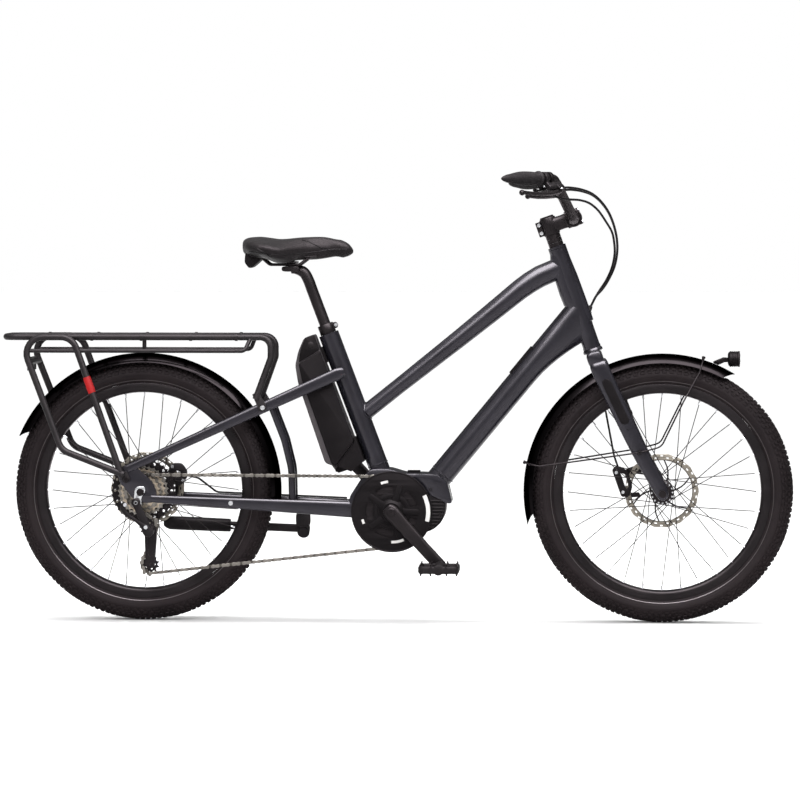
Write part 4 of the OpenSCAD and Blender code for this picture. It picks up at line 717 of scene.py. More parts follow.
# %% Rims, nipples and valves
RIM_IN = 238.0
RIM_HALF = [(RIM_IN, -7), (238.6, -10.5), (241.2, -14.6), (245, -16.6), (250, -17), (260.2, -17),
            (261.6, -16.4), (261.6, -14.6), (250, -13), (245, -9)]
RIM_PROFILE = RIM_HALF + [(r, -y) for r, y in reversed(RIM_HALF)]
NIPPLES, NIPPLE_Y = 16, 3.0
NIPPLE = [(3.4, 1.0), (3.4, -0.4), (2.3, -1.0), (2.1, -9.5), (1.4, -11.0)]
VALVE = [(4.2, -2), (4.2, 1.5), (3.0, 2), (3.0, 26), (3.8, 27), (3.8, 36), (2.6, 38)]
VALVE_ANGLES = {"front": 111.5, "rear": 115}
for name, centre, body in WHEELS:
    hoop = spin(blank(), RIM_PROFILE, centre, steps=HOOP_STEPS, ring=True)
    settle(name + "_rim_hoop", hoop, anodised, body, "black_metal", name + "_rim", sharp=30)
    rings = [around(centre, RIM_IN, NIPPLE_Y, HOOP_STEPS),
             around(centre, RIM_IN, -NIPPLE_Y, HOOP_STEPS, pi / NIPPLES)]
    nipple = spin(blank(), NIPPLE, Vector(), steps=8)
    piece(name + "_nipples", repeat(nipple, rings, NIPPLES, stainless), stainless, body, "steel")
    out = toward(VALVE_ANGLES[name])
    valve = spin(blank(), VALVE, centre + RIM_IN * out, -out, steps=16)
    settle(name + "_valve", valve, nylon, body, "black_metal")
    dress(name + "_spokes", spoke_wire)
print("rims made")

# %% [markdown]
# Hubs are turned from one bar: a waisted shell between two flanges. Each flange gets the round heads of
# its spokes. A brake disc is two pieces: a wavy steel ring with slots, and a dark carrier that holds it
# on six thin swept arms.

# %% Hubs and brake discs
FLANGE_R = 29.0
HEADS_A_RING = 16
SPOKE_HEAD = [(0.0, -1.2), (1.8, -1.1), (2.6, 0), (2.4, 0.9), (1.4, 1.5), (0.0, 1.6)]
DISC_R, DISC_WAVES, TRACK_IN = 88.9, 18, 75.2
CARRIER_OUT, CARRIER_BORE, CARRIER_ARMS = 75.6, 10.2, 6
WINDOW_STOPS = (27, 36, 48, 60, 74.2)
ARM_HALF, ARM_SWEEP, SWEEP_FROM, SWEEP_RUN = 115, 24, 26, 46
SLOTS, SLOT_ROWS = 36, (80.4, 84.8)
SLOT = ((-2.4, -1.7), (2.4, -1.7), (3.6, 0), (2.4, 1.7), (-2.4, 1.7), (-3.6, 0))
DISC_BOLT = [(0, 2.4), (2.2, 2.4), (3.6, 1.6), (3.8, 0), (3.8, -1.5)]
DISC_BOLTS, BOLT_RING_R = 6, 22


def flange(y):
    return [(FLANGE_R - 1, y - 2), (FLANGE_R, y - 1.2), (FLANGE_R, y + 1.2), (FLANGE_R - 1, y + 2)]


def hub(name, centre, half, left, right, shell, drum):
    """A hub from its right end cap to its left one, and the spoke heads on both faces of each flange."""
    profile = [(7, -half), (10, -half), (10, -half + 4), (drum, -half + 5), (drum, right - 4.4)]
    profile += [(shell + 4, right - 3.4)] + flange(right)
    profile += [(shell + 2, right + 8), (shell, right + 16), (shell, left - 16), (shell + 2, left - 8)]
    profile += flange(left) + [(21, left + 4), (20, left + 6)]
    profile += [(20, half - 12), (10, half - 10), (10, half), (7, half)]
    body = name + "_wheel"
    settle(name + "_hub_shell", spin(blank(), profile, centre, steps=40), anodised, body, "black_metal",
           name + "_hub", sharp=30)
    head = spin(blank(), SPOKE_HEAD, Vector(), UPWARD, steps=8)
    faces = [y + 2.4 * out for y in (left, right) for out in SIDES]
    rings = [around(centre, FLANGE_R - 4, y, 64, radians(2)) for y in faces]
    piece(name + "_spoke_heads", repeat(head, rings, HEADS_A_RING, stainless), stainless, body, "steel")


def carrier_window(k):
    """The opening between two arms of a carrier, as (radius, degrees)."""
    pitch = 360 / CARRIER_ARMS
    first, second = ([(r, pitch * k + gap * ARM_HALF / r + shift + ARM_SWEEP * (r - SWEEP_FROM) / SWEEP_RUN)
                      for r in WINDOW_STOPS] for gap, shift in ((1, 0), (-1, pitch)))

    def across(start, end):
        return [(start[0], start[1] + (end[1] - start[1]) * t) for t in (0.2, 0.4, 0.6, 0.8)]

    return first + across(first[-1], second[-1]) + second[::-1] + across(second[0], first[0])


def brake_disc(end, centre, y):
    name, body, node = end + "_brake_disc", end + "_wheel", end + "_rotor"
    rim = polar(centre, [(DISC_R + cos(radians(DISC_WAVES * d)), d) for d in range(0, 360, 2)])
    slots = []
    for k in range(SLOTS):
        out = toward(360 * k / SLOTS)
        along = out.cross(ACROSS)
        slot = [centre + (SLOT_ROWS[k % 2] + rise) * out + shift * along for shift, rise in SLOT]
        slots.append([(p.x, p.z) for p in slot])
    track = plate(blank(), [rim, circle(centre, TRACK_IN, 90)] + slots, y - 1.1, y + 1.1, 0.15)
    settle(name, track, disc_steel, body, "steel", node, sharp=30)
    windows = [polar(centre, carrier_window(k)) for k in range(CARRIER_ARMS)]
    outlines = [circle(centre, CARRIER_OUT, 90), circle(centre, CARRIER_BORE, 24)] + windows
    carrier = plate(blank(), outlines, y - 0.9, y + 0.9, 0.15)
    settle(name + "_carrier", carrier, anodised, body, "black_metal", node, sharp=30)
    bolt = spin(blank(), DISC_BOLT, Vector(), UPWARD, steps=12)
    ring = around(centre, BOLT_RING_R, y + 1.2, 48, radians(8))
    piece(name + "_bolts", repeat(bolt, [ring], DISC_BOLTS, dark_steel), dark_steel, body, "steel")


hub("front", FRONT, 50, 33, -33, 15, 13)
hub("rear", REAR, 71, 34, -20, 18, 14.6)
brake_disc("front", FRONT, 41)
brake_disc("rear", REAR, 52)
print("hubs and discs made")

# %% [markdown]
# ## The frame
# The tubes are straight or bent sweeps. The down tube swells on its under side towards the head, so its
# rings are stretched there instead of adding a separate gusset. Where two round tubes meet, a quadratic
# gives the seam, and a bead of weld follows it.

# %% Tubes, stays and dropouts
DOWN_R, TOP_WIDE, SEAT_TUBE_R = 29.5, 21.0, 24.5
DOWN_HEAD, DOWN_FOOT = on_head(-20, 470), near(CRANK, 95, 58)
SWELL, SWELL_RUN, SWELL_POWER, SWELL_NARROW = 40, 172, 1.7, 160
TOP_FOOT, TOP_HEAD = on_seat(0, 144), on_head(-4, 592)
POST_CLEARANCE = 20
# Ahead of the crank, above it, and half the tube's height there
TOP_LINE = [(17, 303, 19), (162, 417.5, 21.7), (234, 475.5, 23.4), (283, 515.5, 24.5), (307, 535, 25.2),
            (331, 552, 26), (355, 566.5, 26.5)]
# Off the head's line, along it, and radius
HEAD_WEB = [(-4, 484, 20), (-10, 506, 21), (-11, 530, 21), (-10, 560, 21), (-8, 590, 21), (-5, 612, 21),
            (-1, 628, 21)]
HEAD_CHANNEL = [(8.4, 446, 18), (8.2, 470, 18), (8, 500, 18), (7, 560, 18), (4, 610, 18), (3, 630, 18)]
HEAD_PROFILE = [(17.2, 388), (21, 388), (21, 436), (22, 448), (22, 636), (21, 637), (17.2, 637)]
STAY_Y, REAR_Y, CHAINSTAY_Y = 51.0, 75.2, 36.0
STAY_FRONT, STAY_REAR = on_seat(18, 261), near(REAR, -32, 56)
CHAINSTAY_FRONT, CHAINSTAY_REAR = near(CRANK, -100, 4), near(REAR, 25, -16)
CHAINSTAY_TALL, CHAINSTAY_TAPER = 39, 21
BRACE = [near(REAR, *p) for p in ((313, 204), (344, 124), (361, 54), (363, -32))]
BRACE_Y, BRACE_BEND = 30, 140
DROPOUT = [(-50, 20), (-53, 46), (-42, 64), (-18, 67), (28, 26), (40, -6), (32, -26), (-2, -26),
           (-22, -14), (-38, 10)]
DROPOUT_IN, DROPOUT_OUT, AXLE_HOLE = 71.2, 79.2, 6.1
CRADLE = [(-104, 33), (-77, 76), (-53, 103), (-5, 103), (31, 92), (73, 92), (109, 90), (131, 72), (145, 20)]
CHEEK = [(109, 88), (132, 72), (145, 20), (131, 20), (113, 31), (83, 44), (72, 60), (58, 74), (45, 84),
         (60, 91)]
CRADLE_HALF = 44
MOTOR_AHEAD = Vector((68, 0, 10))
PORT_DIR = Vector((0.45, 0, 0.89)).normalized()
PORT_AT = on_head(31, 480)


def along_stay(front, rear, front_y):
    """A function for places along a pair of stays, which spread from front_y to the dropouts."""
    def place(t, side=1):
        return front.lerp(rear, t) + side * (front_y + t * (REAR_Y - front_y)) * ACROSS
    return place


on_stay = along_stay(STAY_FRONT, STAY_REAR, STAY_Y)
on_chainstay = along_stay(CHAINSTAY_FRONT, CHAINSTAY_REAR, CHAINSTAY_Y)


def chainstay_tall(t):
    return CHAINSTAY_TALL - CHAINSTAY_TAPER * t


tubes = blank()
run = (DOWN_FOOT - DOWN_HEAD).length
down_dir = (DOWN_FOOT - DOWN_HEAD).normalized()
under = down_dir.cross(ACROSS)
ring = rod(DOWN_R)
lowest = max(b for a, b in ring)
rings = []
for d in (0, 25, 50, 75, 100, 125, 150, 180, run):
    more = SWELL * max(0.0, 1 - d / SWELL_RUN) ** SWELL_POWER
    narrow = 1 - more / SWELL_NARROW
    at = DOWN_HEAD + d * down_dir
    rings.append([at + a * narrow * ACROSS + (b + more * max(b, 0) / lowest) * under for a, b in ring])
rings[0] = [p + (HEAD_FOOT - p).dot(HEAD_FWD) / down_dir.dot(HEAD_FWD) * down_dir for p in rings[0]]
skin(tubes, rings)
top_line = [near(CRANK, x, z) for x, z, r in TOP_LINE]
top_low = (top_line[0] - TOP_FOOT).normalized()
top_half = [19] + [r for x, z, r in TOP_LINE] + [26]
sweep(tubes, [TOP_FOOT + POST_CLEARANCE * top_low] + top_line + [TOP_HEAD],
      [oval(2 * min(r, TOP_WIDE), 2 * r) for r in top_half])
for web in (HEAD_WEB, HEAD_CHANNEL):
    sweep(tubes, [on_head(u, s) for u, s, r in web], [rod(r) for u, s, r in web], round_ends=4.0)
sweep(tubes, [on_seat(0, -20), on_seat(0, 360)], rod(SEAT_TUBE_R))
spin(tubes, HEAD_PROFILE, HEAD_FOOT, HEAD_UP, ring=True)
sweep(tubes, [PORT_AT - 28 * PORT_DIR, PORT_AT - 13 * PORT_DIR], rod(9.6, 24), round_ends=2.0)
for at, half in ((BRACE[0], 58), (BRACE[3], 47)):
    sweep(tubes, [at - half * ACROSS, at + half * ACROSS], rod(8, 20), side=FORWARD)
stops = [-0.045, -0.035, -0.015] + [k / 6 for k in range(7)]
stay_rings = ovals([(14, 18, 2.6), (16, 25, 2.8)] + [(16, 30 - 10 * t, 3.4) for t in stops[2:]])
for side in SIDES:
    sweep(tubes, [on_stay(t, side) for t in stops], stay_rings)
    sweep(tubes, [on_chainstay(t, side) for t in stops], ovals([(16, chainstay_tall(t), 3.4) for t in stops]))
    stub = [on_seat(12, 261, side * y) for y in (POST_CLEARANCE - 4, STAY_Y - 4)]
    sweep(tubes, stub, rod(12, 24), side=SEAT_UP)
    outlines = [drawn(REAR, DROPOUT, 9), circle(REAR, AXLE_HOLE)]
    plate(tubes, outlines, side * DROPOUT_IN, side * DROPOUT_OUT, 1.2)
    sweep(tubes, [p + side * BRACE_Y * ACROSS for p in bent(BRACE, BRACE_BEND)], rod(8.5, 24))
cradle = CRADLE + circle(MOTOR_AHEAD, 63.4, 24, 9, 126) + circle(Vector(), 59.4, 24, 67, 123) + [(-104, -13)]
plate(tubes, [drawn(CRANK, cradle, 10)], -CRADLE_HALF, CRADLE_HALF, 5.0)
for side in SIDES:
    plate(tubes, [drawn(CRANK, CHEEK, 6)], side * (CRADLE_HALF - 1.8), side * (CRADLE_HALF + 0.6), 1.0)
settle("frame_tubes", tubes, powder_coat, "frame", "paint", "frame", sharp=40)
grommet_rings = ovals([(19, 14), (19, 12), (18, 9)])
grommet = sweep(blank(), [PORT_AT - d * PORT_DIR for d in (15, 9, 0)], grommet_rings)
settle("port_grommet", grommet, grip_rubber, "frame", "grip_rubber")
print("frame tubes made")


# %% Weld beads
def meeting(start, along, radius, other, other_along, other_radius, steps=56):
    """The seam of two round tubes: for each place round the first, where it leaves the second's skin."""
    first = along.orthogonal().normalized()
    second = along.cross(first)
    flat = along - along.dot(other_along) * other_along
    loop = []
    for k in range(steps):
        a = 2 * pi * k / steps
        spot = start + radius * (cos(a) * first + sin(a) * second)
        p = spot - other
        p -= p.dot(other_along) * other_along
        half = p.dot(flat) / flat.length_squared
        rest = max(half * half - (p.length_squared - other_radius ** 2) / flat.length_squared, 0.0)
        loop.append(spot + (sqrt(rest) - half) * along)
    return loop


def ring_round(at, along, radius, steps=48):
    second = along.cross(ACROSS)
    angles = [2 * pi * k / steps for k in range(steps)]
    return [at + radius * (cos(a) * ACROSS + sin(a) * second) for a in angles]


# A seam's loop and its bead's radius
seams = [
    (meeting(TOP_FOOT, top_low, TOP_LINE[0][2], SEAT_FOOT, SEAT_UP, SEAT_TUBE_R), 2.2),
    (ring_round(on_seat(0, 22), SEAT_UP, SEAT_TUBE_R - 0.6), 1.8),
    (ring_round(DOWN_HEAD.lerp(DOWN_FOOT, 0.925), down_dir, DOWN_R - 0.6), 1.8),
]
beads = blank()
for loop, radius in seams:
    sweep(beads, loop, oval(2.2 * radius, 2 * radius, sides=10), loop=True)
settle("weld_beads", beads, powder_coat, "frame", "paint")
print("welds made")

# %% [markdown]
# ## Fork and fenders
# A fork blade is a row of soft-cornered rings between a front edge and a back edge. The fenders are
# shallow round gutters with a rolled lip. They end in points because their sides start later and stop
# sooner than their crown.

# %% Fork
FORK_FRONT = [(378, 24), (328, 25), (108, 46), (10, 62), (-12, 58), (-18, 45)]
FORK_BACK = [(378, -21), (333, -20), (119, 6), (8, 27), (-12, 32), (-18, 40)]
BLADE_IN, BLADE_OUT = 50.2, 76.2
# Along the head's line, and how far the ring is drawn in there
BLADE_STOPS = [(350, 9), (348.5, 5.6), (345, 2.6), (339, 0.8)]
BLADE_STOPS += [(s, 0) for s in (330, 300, 250, 200, 150, 108, 70, 40, 10)]
BLADE_STOPS += [(-4, 0.4), (-12, 1.5), (-16, 4), (-18, 7)]
# Off the head's line, along it, radius and reach across
BOSSES = ((26, 112, 6.0, 81.2), (18, 173, 3.2, 78.4))
CROWN_Y = (-71, -69, -64, -40, -20, 0, 20, 40, 64, 69, 71)
CROWN_END = [(30, 28, 3), (36, 34, 3)]
CROWN_RACE = [(17, 370), (24, 374), (24, 379), (21, 383), (16, 383)]
INLAY_LOW, INLAY_TOP, INLAY_ROUND, INLAY_WIDE = 197, 294, 11, 22


def between(table, at):
    """Reads a table of (place, value) that runs downwards."""
    for (a, va), (b, vb) in zip(table, table[1:]):
        if a >= at >= b:
            return va + (vb - va) * (a - at) / (a - b)
    return table[-1][1]


fork = blank()
for side in SIDES:
    rings = []
    for s, inset in BLADE_STOPS:
        ahead, behind = between(FORK_FRONT, s) - inset * 0.7, between(FORK_BACK, s) + inset * 0.7
        thick = BLADE_OUT - BLADE_IN - 1.6 * inset
        rings.append([on_head((ahead + behind) / 2 + b, s, side * (BLADE_IN + BLADE_OUT) / 2 + a)
                      for a, b in oval(thick, ahead - behind, 3.2, 28)])
    skin(fork, rings)
    for u, s, radius, reach in BOSSES:
        boss = [(radius, 60), (radius, reach - 0.8), (radius - 0.8, reach), (2.6, reach), (2.4, reach - 3)]
        spin(fork, boss, on_head(u, s), side * ACROSS, steps=24)
sweep(fork, [on_head(-1, 358, y) for y in CROWN_Y],
      ovals(CROWN_END + [(38, 38, 3.4)] * 7 + CROWN_END[::-1], sides=32), side=HEAD_FWD)
spin(fork, CROWN_RACE, HEAD_FOOT, HEAD_UP)
settle("fork_blades", fork, powder_coat, "steering", "paint", "fork", sharp=40)
for side, name in zip(SIDES, ("left", "right")):
    inlay = []
    for s in (187, 189, 194, 210, 240, 270, 292, 300, 303, 304.5):
        middle = (between(FORK_FRONT, s) + between(FORK_BACK, s)) / 2
        past = max(0, s - INLAY_TOP, INLAY_LOW - s) / INLAY_ROUND
        wide = INLAY_WIDE * sqrt(max(0.02, 1 - past ** 2))
        inlay.append([on_head(middle + b, s, side * (BLADE_OUT + a)) for a, b in oval(1.4, wide, 3, 16)])
    settle("fork_inlay_" + name, skin(blank(), inlay), moulded, "steering", "paint")
print("fork made")

# %% Fenders
FENDER_R = 334.0
GUTTER_R, GUTTER_HALF, GUTTER_STEPS = 40.0, radians(62), 110
# The lip's places: how far outside the gutter's radius, and how far nearer to the axle
LIP = [(0.6, -1.2), (-0.8, -2.2), (-2.2, -1.0)]
POINT_POWER = 1.4


def fender(name, centre, start, end, body, node, nose, tail):
    """A shallow gutter round a wheel; nose and tail are how many degrees its sides end before its crown."""
    arc = [GUTTER_HALF * k / 10 for k in range(-10, 11)]
    section = [(a, GUTTER_R, 0.0) for a in arc]
    section += [(arc[-1], GUTTER_R + out, drop) for out, drop in LIP]
    section += [(a, GUTTER_R - 1.5, 0.0) for a in reversed(arc)]
    section += [(arc[0], GUTTER_R + out, drop) for out, drop in reversed(LIP)]
    rings = []
    for k in range(GUTTER_STEPS + 1):
        ring = []
        for a, r, drop in section:
            off = (abs(a) / GUTTER_HALF) ** POINT_POWER
            first, last = start + nose * off, end - tail * off
            reach = FENDER_R - GUTTER_R + r * cos(a) + drop
            spot = centre + reach * toward(first + (last - first) * k / GUTTER_STEPS)
            ring.append(spot + r * sin(a) * ACROSS)
        rings.append(ring)
    settle(name, skin(blank(), rings), fender_paint, body, "black_metal", node, sharp=50)


fender("rear_fender_gutter", REAR, -6, 157, "frame", "rear_fender", 0.0, 4.0)
fender("front_fender_gutter", FRONT, 58.5, 194, "steering", "front_fender", 4.0, 5.0)
tab = sweep(blank(), [REAR + reach * toward(-4) for reach in (FENDER_R - 3, 346, 353)], rod(4, 16))
settle("rear_fender_tab", tab, anodised, "frame", "black_metal", "rear_fender")
print("fenders made")

# %% [markdown]
# ## Saddle
# The CAD saddle is only a hard core. A copy of it is remeshed into an even skin and a cloth simulation
# blows it up a little from inside, as foam does under a stretched cover. The movement is capped, so the
# saddle keeps its size. After that the nose is made blunter, the skirt deeper and the tail longer. Seams
# come last: a ray finds the soft surface, and a thin welt is laid on it.

# %% A cover blown up on its core
EVEN_SIZE, SOFT_CAP, LAST_FRAME = 0.005, 0.006, 20
PRESSURE, STIFFNESS = 4.0, 25
SADDLE = on_seat(29.5, 539)
MID_Z, NOSE_FROM, NOSE_TO, BLUNT_ABOVE, BLUNT_BELOW = 46, 104, 142, 0.2, 0.5
SKIRT_DEEP, TAIL_LONG = 7, 14


def baked(holder):
    """The mesh that an object's modifiers give, with the modifiers taken off."""
    mesh = final_mesh(holder)
    holder.modifiers.clear()
    return mesh


def ramp(value, start, end):
    """0 before start, 1 after end, and smooth between them."""
    t = max(0.0, min(1.0, (value - start) / (end - start)))
    return t * t * (3 - 2 * t)


core_mesh = nodes["saddle"].data.copy()
core_mesh.transform(nodes["saddle"].matrix_world)
cover = new_object("saddle_cover", core_mesh)
evener = cover.modifiers.new("even", "REMESH")
evener.mode = "VOXEL"
evener.voxel_size = EVEN_SIZE
cover.data = baked(cover)
rest = [v.co.copy() for v in cover.data.vertices]
cloth = cover.modifiers.new("blown", "CLOTH")
cloth.settings.use_pressure = True
cloth.settings.uniform_pressure_force = PRESSURE
cloth.settings.effector_weights.gravity = 0.0
cloth.settings.tension_stiffness = STIFFNESS
cloth.settings.compression_stiffness = STIFFNESS
cloth.point_cache.frame_start = 1
cloth.point_cache.frame_end = LAST_FRAME
for step in range(1, LAST_FRAME + 1):
    scene.frame_set(step)
cover.data = baked(cover)
scene.frame_set(1)
for v, start in zip(cover.data.vertices, rest):
    moved = v.co - start
    if moved.length > SOFT_CAP:
        v.co = start + moved * (SOFT_CAP / moved.length)
rounder = cover.modifiers.new("round", "SMOOTH")
rounder.factor = 0.6
rounder.iterations = 6
finer = cover.modifiers.new("fine", "SUBSURF")
finer.levels = finer.render_levels = 1
soft_mesh = baked(cover)
bpy.data.objects.remove(cover)
for v in soft_mesh.vertices:
    p = v.co / MM - SADDLE
    blunt = (BLUNT_ABOVE if p.z > MID_Z else BLUNT_BELOW) * ramp(p.x, NOSE_FROM, NOSE_TO)
    skirt = ramp(p.x, -75, -30) * ramp(p.x, 45, 5) * ramp(abs(p.y), 30, 44) * ramp(p.z, MID_Z, 32)
    p.z += blunt * (p.z - MID_Z) - SKIRT_DEEP * skirt
    p.x -= TAIL_LONG * ramp(p.x, -40, -105)
    v.co = (p + SADDLE) * MM
cover = piece("saddle_cover", soft_mesh, saddle_vinyl, "seat", "saddle_cover", "saddle", sharp=80)
print("saddle cover", len(cover.data.vertices), "points")

# %% Seams and base of the saddle
SEAMS = [
    [(-88, 52), (-76, 49), (-62, 42), (-50, 33), (-42, 27)],
    [(28, 70), (42, 66), (58, 59), (74, 51), (88, 49)],
    [(-96, 42), (-60, 37), (-20, 34), (20, 37), (60, 41), (100, 47), (138, 47)],
]
RAY_FROM, WELT_R, WELT_LIFT = 160, 0.9, 0.2
SADDLE_RAIL = [(-74, 22, 31), (-50, 22, 10), (22, 22, 10), (50, 19, 31)]
TAIL_WEDGE = [(-109, 39), (-111, 15), (-100, 1), (-90, 4), (-76, 16), (-61, 31), (-73, 42)]
welts, rails, base = blank(), blank(), blank()
for side in SIDES:
    for line in SEAMS:
        points = []
        for p in flowing([near(SADDLE, x, z) for x, z in line]):
            outside = Vector((p.x, side * RAY_FROM, p.z)) * MM
            hit, spot, normal, index = cover.ray_cast(outside, -side * ACROSS)
            if hit:
                points.append(spot / MM + normal * WELT_LIFT)
        if len(points) > 2:
            sweep(welts, points, rod(WELT_R, 8), side=UPWARD)
    rail = [near(SADDLE, x, z, side * y) for x, y, z in SADDLE_RAIL]
    sweep(rails, bent(rail, 12), rod(3.5, 16))
for x, wide, z in ((-70, 96, 30), (40, 52, 29)):
    sweep(base, [near(SADDLE, x + d, z + lift) for d, lift in ((-24, 1), (0, 0), (24, 1))],
          ovals([(wide * 0.8, 8, 3), (wide, 10, 3), (wide * 0.8, 8, 3)]))
settle("saddle_welts", welts, jacket, "seat", "saddle_cover")
settle("saddle_base", base, nylon, "seat", "black_plastic")
settle("saddle_rail_rods", rails, dark_steel, "seat", "black_metal", "saddle_rails")
tail = plate(blank(), [drawn(SADDLE, TAIL_WEDGE, 5)], -30, 30, 5.0)
settle("saddle_tail_block", tail, moulded, "seat", "black_plastic")

# %% Seatpost and clamp
POST_R, NECK_TAPER, NECK_FROM = 13.6, 0.45, 11
NECK = [(0, 470), (0, 500), (4, 520), (17, 532), (30, 537)]
CLAMP_Y = (-28, -14, 14, 28)
COLLAR = [(13.7, 360.2), (19.0, 360.2), (19.6, 361.5), (19.6, 382.5), (18.6, 384), (13.7, 384)]
COLLAR_BOLT = [(0, -14), (2.0, -14), (2.2, -12), (4.2, -12), (4.4, -11), (4.4, -10), (2.4, -9), (2.4, 10),
               (4, 10), (4, 13)]
post = blank()
neck = flowing([on_seat(u, s) for u, s in NECK], 5)
post_rings = [rod(POST_R - NECK_TAPER * max(0, k - NECK_FROM), 32) for k in range(len(neck))]
sweep(post, [on_seat(0, 190)] + neck, post_rings[:1] + post_rings)
for wide, low, high in ((42, -7, 6.4), (34, 13.6, 18.6)):
    across = [near(SADDLE, 0, (low + high) / 2, y) for y in CLAMP_Y]
    sweep(post, across, oval(wide, high - low, 4, 28), side=FORWARD, round_ends=2.0)
sweep(post, [SADDLE, near(SADDLE, 0, 22)], rod(4, 16))
settle("seatpost_tube", post, anodised, "seat", "black_metal", "seatpost")
collar = spin(blank(), COLLAR, SEAT_FOOT, SEAT_UP, steps=40, ring=True)
for side in SIDES:
    ear = [on_seat(-20, 374, side * y) for y in (2, 10)]
    sweep(collar, ear, oval(16, 17, 3, 20), side=SEAT_UP, round_ends=1.5)
settle("seat_collar", collar, anodised, "frame", "black_metal", "seat_clamp")
collar_bolt = spin(blank(), COLLAR_BOLT, on_seat(-25, 374), steps=16)
settle("seat_collar_bolt", collar_bolt, stainless, "frame", "steel")
print("seat made")

# %% [markdown]
# ## Battery and motor
# The battery is a core in paler plastic with a dark shell on each side, so its rear spine and front slit
# stay pale. The shells have a seam near the top. The motor is two drums in one casting with fins on the
# front drum.

# %% Battery
BATTERY_HALF, SHELL_IN = 42.0, 33.0
CORE = [(31, 371), (57, 371), (81, 346), (100, 317), (109, 274), (116, 70), (96, 54), (31, 95)]
LUG = [(91, 43), (101, 43), (106, 62), (91, 64)]
SHELL_TOP = [(31.2, 370.6), (54, 370.6), (74, 348), (90, 320), (31.2, 331)]
SHELL_LOW = [(31.2, 329), (91, 317.5), (98, 274), (102, 60), (95.5, 54.6), (31.2, 95.4)]
LOCK_COVER = [(0, -43.2), (5.6, -43.2), (7.4, -42.4), (7.6, -40), (7.6, -34)]


def on_line(line, points, ease=0.0):
    """An outline given along the seat's or the head's line, with its corners rounded."""
    spots = [line(u, s) for u, s in points]
    return eased([(p.x, p.z) for p in spots], ease)


core = plate(blank(), [on_line(on_seat, CORE, 8)], -BATTERY_HALF + 4, BATTERY_HALF - 4, 3.0)
plate(core, [on_line(on_seat, LUG, 4)], -9.5, 9.5)
settle("battery_core", core, spine_plastic, "battery", "black_plastic", "battery_case")
shells = blank()
for side in SIDES:
    for outline in (SHELL_TOP, SHELL_LOW):
        plate(shells, [on_line(on_seat, outline, 5)], side * SHELL_IN, side * BATTERY_HALF, 3.0)
settle("battery_shells", shells, moulded, "battery", "black_plastic")
lock_cover = spin(blank(), LOCK_COVER, on_seat(47, 350), steps=24)
settle("battery_lock_cover", lock_cover, nylon, "battery", "black_plastic")
dress("battery_holder", moulded)
print("battery made")

# %% Motor
MOTOR_HALF = 42.0
MOTOR_FRONT = CRANK + MOTOR_AHEAD
FIN_R, FIN_Y, FIN_HEIGHTS = 60, 42.4, range(-48, 17, 8)
MOTOR_BOLT = [(0, 43.2), (2.0, 43.2), (2.2, 44.6), (4.0, 44.6), (4.4, 43.8), (4.4, 41)]
motor, bolts = blank(), blank()
for back_r, front_r, half, edge in ((57.6, 61.6, MOTOR_HALF - 2, 3.0), (52, 56, MOTOR_HALF, 2.0)):
    plate(motor, [two_drums(CRANK, back_r, MOTOR_FRONT, front_r, 32)], -half, half, edge)
for side in SIDES:
    for z in FIN_HEIGHTS:
        reach = sqrt(FIN_R ** 2 - z ** 2)
        fin = [near(MOTOR_FRONT, x, z, side * FIN_Y) for x in (8, reach - 8, reach - 2)]
        sweep(motor, fin, ovals([(5, 3.4, 3), (5, 3.4, 3), (3, 2.4, 3)], sides=12))
    for angle in (-60, -20, 20, 60):
        spin(bolts, MOTOR_BOLT, MOTOR_FRONT + 50 * toward(angle), side * ACROSS, steps=16)
settle("motor_casting", motor, cast_alloy, "frame", "motor", "motor_housing")
settle("motor_bolts", bolts, dark_steel, "frame", "steel")
dress("motor_covers", moulded)
print("motor made")

# %% [markdown]
# ## Drive
# The chain is made of real links. Its path runs round four circles, as in the CAD, and is cut into four
# runs: one stays with the frame, one with the swinging cage, and the two runs between them ride on no
# body. Outer and inner links are repeated in turn along each run.

# %% Path of the chain
CHAIN_Y, PITCH = -50.0, 12.7
GUIDE_AT, TENSION_AT = near(REAR, 15, -87), near(REAR, 19, -177)
# A wheel's place and pitch radius, which is negative where the chain runs round it the other way
CHAIN_WHEELS = [(CRANK, 85.0), (REAR, 40.0), (GUIDE_AT, -22.0), (TENSION_AT, 22.0)]
ARC_STEPS = 24


def heading(a, b):
    """Direction of the line that touches wheel a and then wheel b."""
    gap = b[0] - a[0]
    return atan2(gap.z, gap.x) + asin((a[1] - b[1]) / gap.length)


def arc_points(i):
    """The chain's arc round a wheel, from where it lands to where it leaves."""
    wheel, before, after = CHAIN_WHEELS[i], CHAIN_WHEELS[i - 1], CHAIN_WHEELS[(i + 1) % 4]
    start, end = heading(before, wheel), heading(wheel, after)
    turn = (end - start) % (2 * pi)
    if wheel[1] < 0:
        turn -= 2 * pi
    angles = [degrees(start + turn * k / ARC_STEPS) - 90 for k in range(ARC_STEPS + 1)]
    return [wheel[0] + wheel[1] * toward(a) + CHAIN_Y * ACROSS for a in angles]


def paced(path, step):
    """Points every step along a path, from its start."""
    points, left = [path[0]], step
    for a, b in zip(path, path[1:]):
        run = (b - a).length
        while run > left:
            a = a + (b - a) * (left / run)
            points.append(a)
            run, left = (b - a).length, step
        left -= run
    return points


crank_arc, rear_arc, guide_arc, tension_arc = (arc_points(i) for i in range(4))
whole_chain = paced(crank_arc + rear_arc + guide_arc + tension_arc + crank_arc[:1], PITCH)
links = [(a + b) / 2 for a, b in zip(whole_chain, whole_chain[1:] + whole_chain[:1])]
marks = [rear_arc[-1], guide_arc[0], tension_arc[-1]]
cuts = [min(range(len(links)), key=lambda i: (whole_chain[i] - mark).length) for mark in marks]
CHAIN_RUNS = dict(zip(("top", "drop", "cage", "return"), zip([0] + cuts, cuts + [len(links)])))

